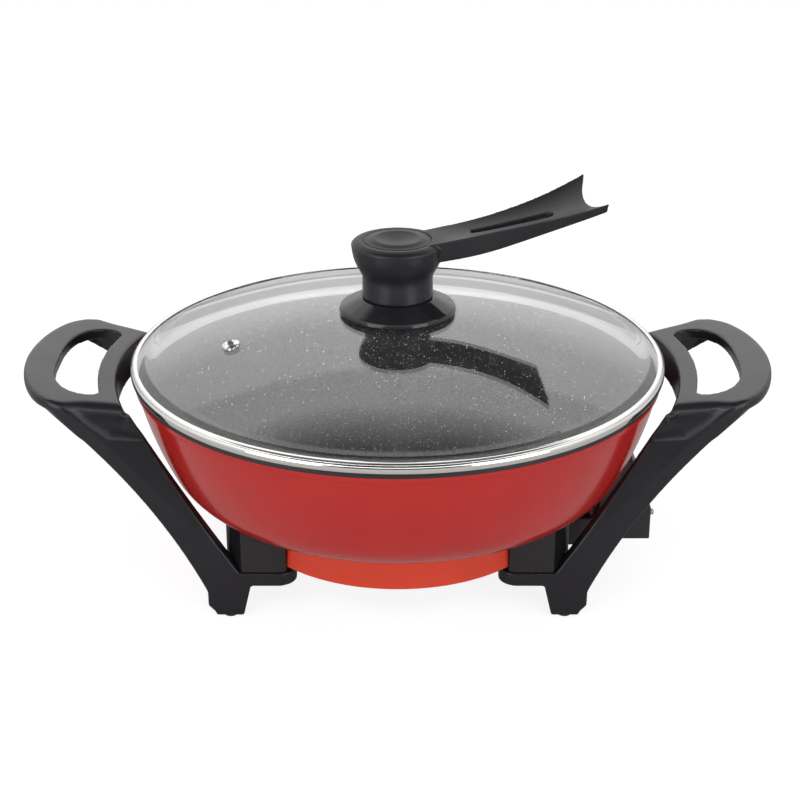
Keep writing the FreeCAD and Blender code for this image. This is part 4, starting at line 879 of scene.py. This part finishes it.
FLOOR_REACH = 3.0            # metres from the middle to each side
FLOOR_GREY = 0.85            # what the floor throws back onto the object
FLOOR_MIRRORED = 0.78        # the same where the object mirrors it
FLOOR_GLOW = 0.84            # seen by the camera, the floor is this much plain white,
FLOOR_SHADED = 0.34          # and this much a surface that takes the shadow
ROOM_LIGHT = 0.42
CEILING = 0.11               # brightness of what mirrors see overhead
CAMERA_SIDE = 0.09           # and of what they see behind the camera
WALL_END = (0.79, 0.89)      # a direction's Z where the mirrored wall ends and the ceiling starts
WALL_ARCH = 0.13             # how much lower the wall ends at the sides
WALL_FOOT = (0.3, 0.72)      # below this Z the wall gets darker, down to this brightness
WALL_GLOW = (0.45, 0.76, 1.75)   # from the first to the second Z the wall gets this much brighter
FRONT_EDGE = (-0.93, -0.72)  # the dark camera side's edges, as the level direction's Y
HORIZON = 0.02               # the white below the horizon fades out from minus this Z to this Z
LAMP_AIM_Z = 0.12            # metres above the table


def plain_shader(tree, kind, value, strength=None):
    """A grey diffuse, emission or background shader."""
    node = tree.nodes.new(kind)
    node.inputs["Color"].default_value = (value, value, value, 1.0)
    if isinstance(strength, float):
        node.inputs["Strength"].default_value = strength
    elif strength is not None:
        tree.links.new(strength, node.inputs["Strength"])
    return node.outputs[0]


def floor_material():
    """Pale floor that shows white but keeps a soft part of the object's shadow."""
    material, tree, _ = new_material("pale_floor")
    tree.nodes.clear()
    out = tree.nodes.new("ShaderNodeOutputMaterial")
    shown = tree.nodes.new("ShaderNodeAddShader")
    tree.links.new(plain_shader(tree, "ShaderNodeBsdfDiffuse", FLOOR_SHADED), shown.inputs[0])
    tree.links.new(plain_shader(tree, "ShaderNodeEmission", 1.0, FLOOR_GLOW), shown.inputs[1])
    lit = plain_shader(tree, "ShaderNodeBsdfDiffuse", FLOOR_GREY)
    mirrored = plain_shader(tree, "ShaderNodeBsdfDiffuse", FLOOR_MIRRORED)
    ray = tree.nodes.new("ShaderNodeLightPath").outputs
    unseen = choose(tree, ray["Is Glossy Ray"], lit, mirrored)
    seen = largest(tree, ray["Is Camera Ray"], ray["Is Transmission Ray"])
    tree.links.new(choose(tree, seen, unseen, shown.outputs[0]), out.inputs["Surface"])
    return material


def make_floor():
    mesh = bpy.data.meshes.new("floor")
    reach = FLOOR_REACH
    corners = [(-reach, -reach, 0.0), (reach, -reach, 0.0), (reach, reach, 0.0), (-reach, reach, 0.0)]
    mesh.from_pydata(corners, [], [(0, 1, 2, 3)])
    mesh.materials.append(floor_material())
    obj = bpy.data.objects.new("floor", mesh)
    bpy.context.scene.collection.objects.link(obj)


def studio_world():
    """White behind the object; mirrors see a white wall with a darker ceiling and a dark camera side."""
    world = bpy.data.worlds.new("studio")
    bpy.context.scene.world = world
    world.use_nodes = True
    tree = world.node_tree
    tree.nodes.clear()
    out = tree.nodes.new("ShaderNodeOutputWorld")
    x, y, z = split_xyz(tree, tree.nodes.new("ShaderNodeTexCoord").outputs["Generated"])
    toward = calc(tree, "DIVIDE", y, length_xy(tree, x, y))
    aside = calc(tree, "ABSOLUTE", x)
    height = calc(tree, "ADD", z, times(tree, aside, WALL_ARCH))
    wall = spread(tree, height, *WALL_END, 1.0, CEILING)
    wall = times(tree, wall, spread(tree, z, 0.0, WALL_FOOT[0], WALL_FOOT[1], 1.0))
    wall = times(tree, wall, spread(tree, z, WALL_GLOW[0], WALL_GLOW[1], 1.0, WALL_GLOW[2]))
    sides = spread(tree, toward, *FRONT_EDGE, CAMERA_SIDE, 1.0)
    below = spread(tree, z, -HORIZON, HORIZON, 1.0, 0.0)

    def sky(strength):
        return plain_shader(tree, "ShaderNodeBackground", 1.0, strength)

    mirrored = sky(largest(tree, times(tree, wall, sides), below))
    through_glass = sky(largest(tree, wall, below))
    ray = tree.nodes.new("ShaderNodeLightPath").outputs
    surface = choose(tree, ray["Is Glossy Ray"], sky(ROOM_LIGHT), mirrored)
    surface = choose(tree, ray["Is Transmission Ray"], surface, through_glass)
    surface = choose(tree, ray["Is Camera Ray"], surface, sky(1.0))
    tree.links.new(surface, out.inputs["Surface"])


def lamp(name, place_m, size_x, size_y, watts):
    """An area lamp that faces the object; places and sizes are in metres."""
    light = bpy.data.lights.new(name, "AREA")
    light.shape = "RECTANGLE"
    light.size = size_x
    light.size_y = size_y
    light.energy = watts
    obj = bpy.data.objects.new(name, light)
    bpy.context.scene.collection.objects.link(obj)
    obj.location = place_m
    direction = Vector((0.0, 0.0, LAMP_AIM_Z)) - Vector(place_m)
    obj.rotation_euler = direction.to_track_quat("-Z", "Y").to_euler()


make_floor()
studio_world()
lamp("rear_softbox", (0.0, 1.6, 0.9), 2.2, 1.2, 3.3)
lamp("front_strip", (0.0, -1.30, 1.21), 1.7, 0.22, 4.7)
lamp("left_strip", (-0.94, -0.90, 1.21), 1.0, 0.22, 2.8)
lamp("right_strip", (0.97, -0.87, 1.21), 0.8, 0.22, 2.2)
lamp("left_low_fill", (-1.0, -1.05, 0.32), 0.8, 0.5, 4.4)
lamp("right_low_fill", (1.0, -1.05, 0.32), 0.8, 0.5, 4.4)


# ---------------------------------------------------------------- camera

CAMERA_AIM = Vector((1.5, 0.0, 118.4)) * MM
CAMERA_DISTANCE = 1135.0 * MM
CAMERA_PITCH = 23.46         # degrees downward
CAMERA_LENS = 78.75
CAMERA_SENSOR = 36.0


def make_camera():
    data = bpy.data.cameras.new("camera")
    data.lens = CAMERA_LENS
    data.sensor_width = CAMERA_SENSOR
    data.sensor_fit = "HORIZONTAL"
    camera = bpy.data.objects.new("camera", data)
    bpy.context.scene.collection.objects.link(camera)
    pitch = math.radians(CAMERA_PITCH)
    back = Vector((0.0, -math.cos(pitch), math.sin(pitch)))
    camera.location = CAMERA_AIM + back * CAMERA_DISTANCE
    camera.rotation_euler = (math.radians(90.0 - CAMERA_PITCH), 0.0, 0.0)
    bpy.context.scene.camera = camera


make_camera()
bpy.context.scene.view_settings.view_transform = "Standard"
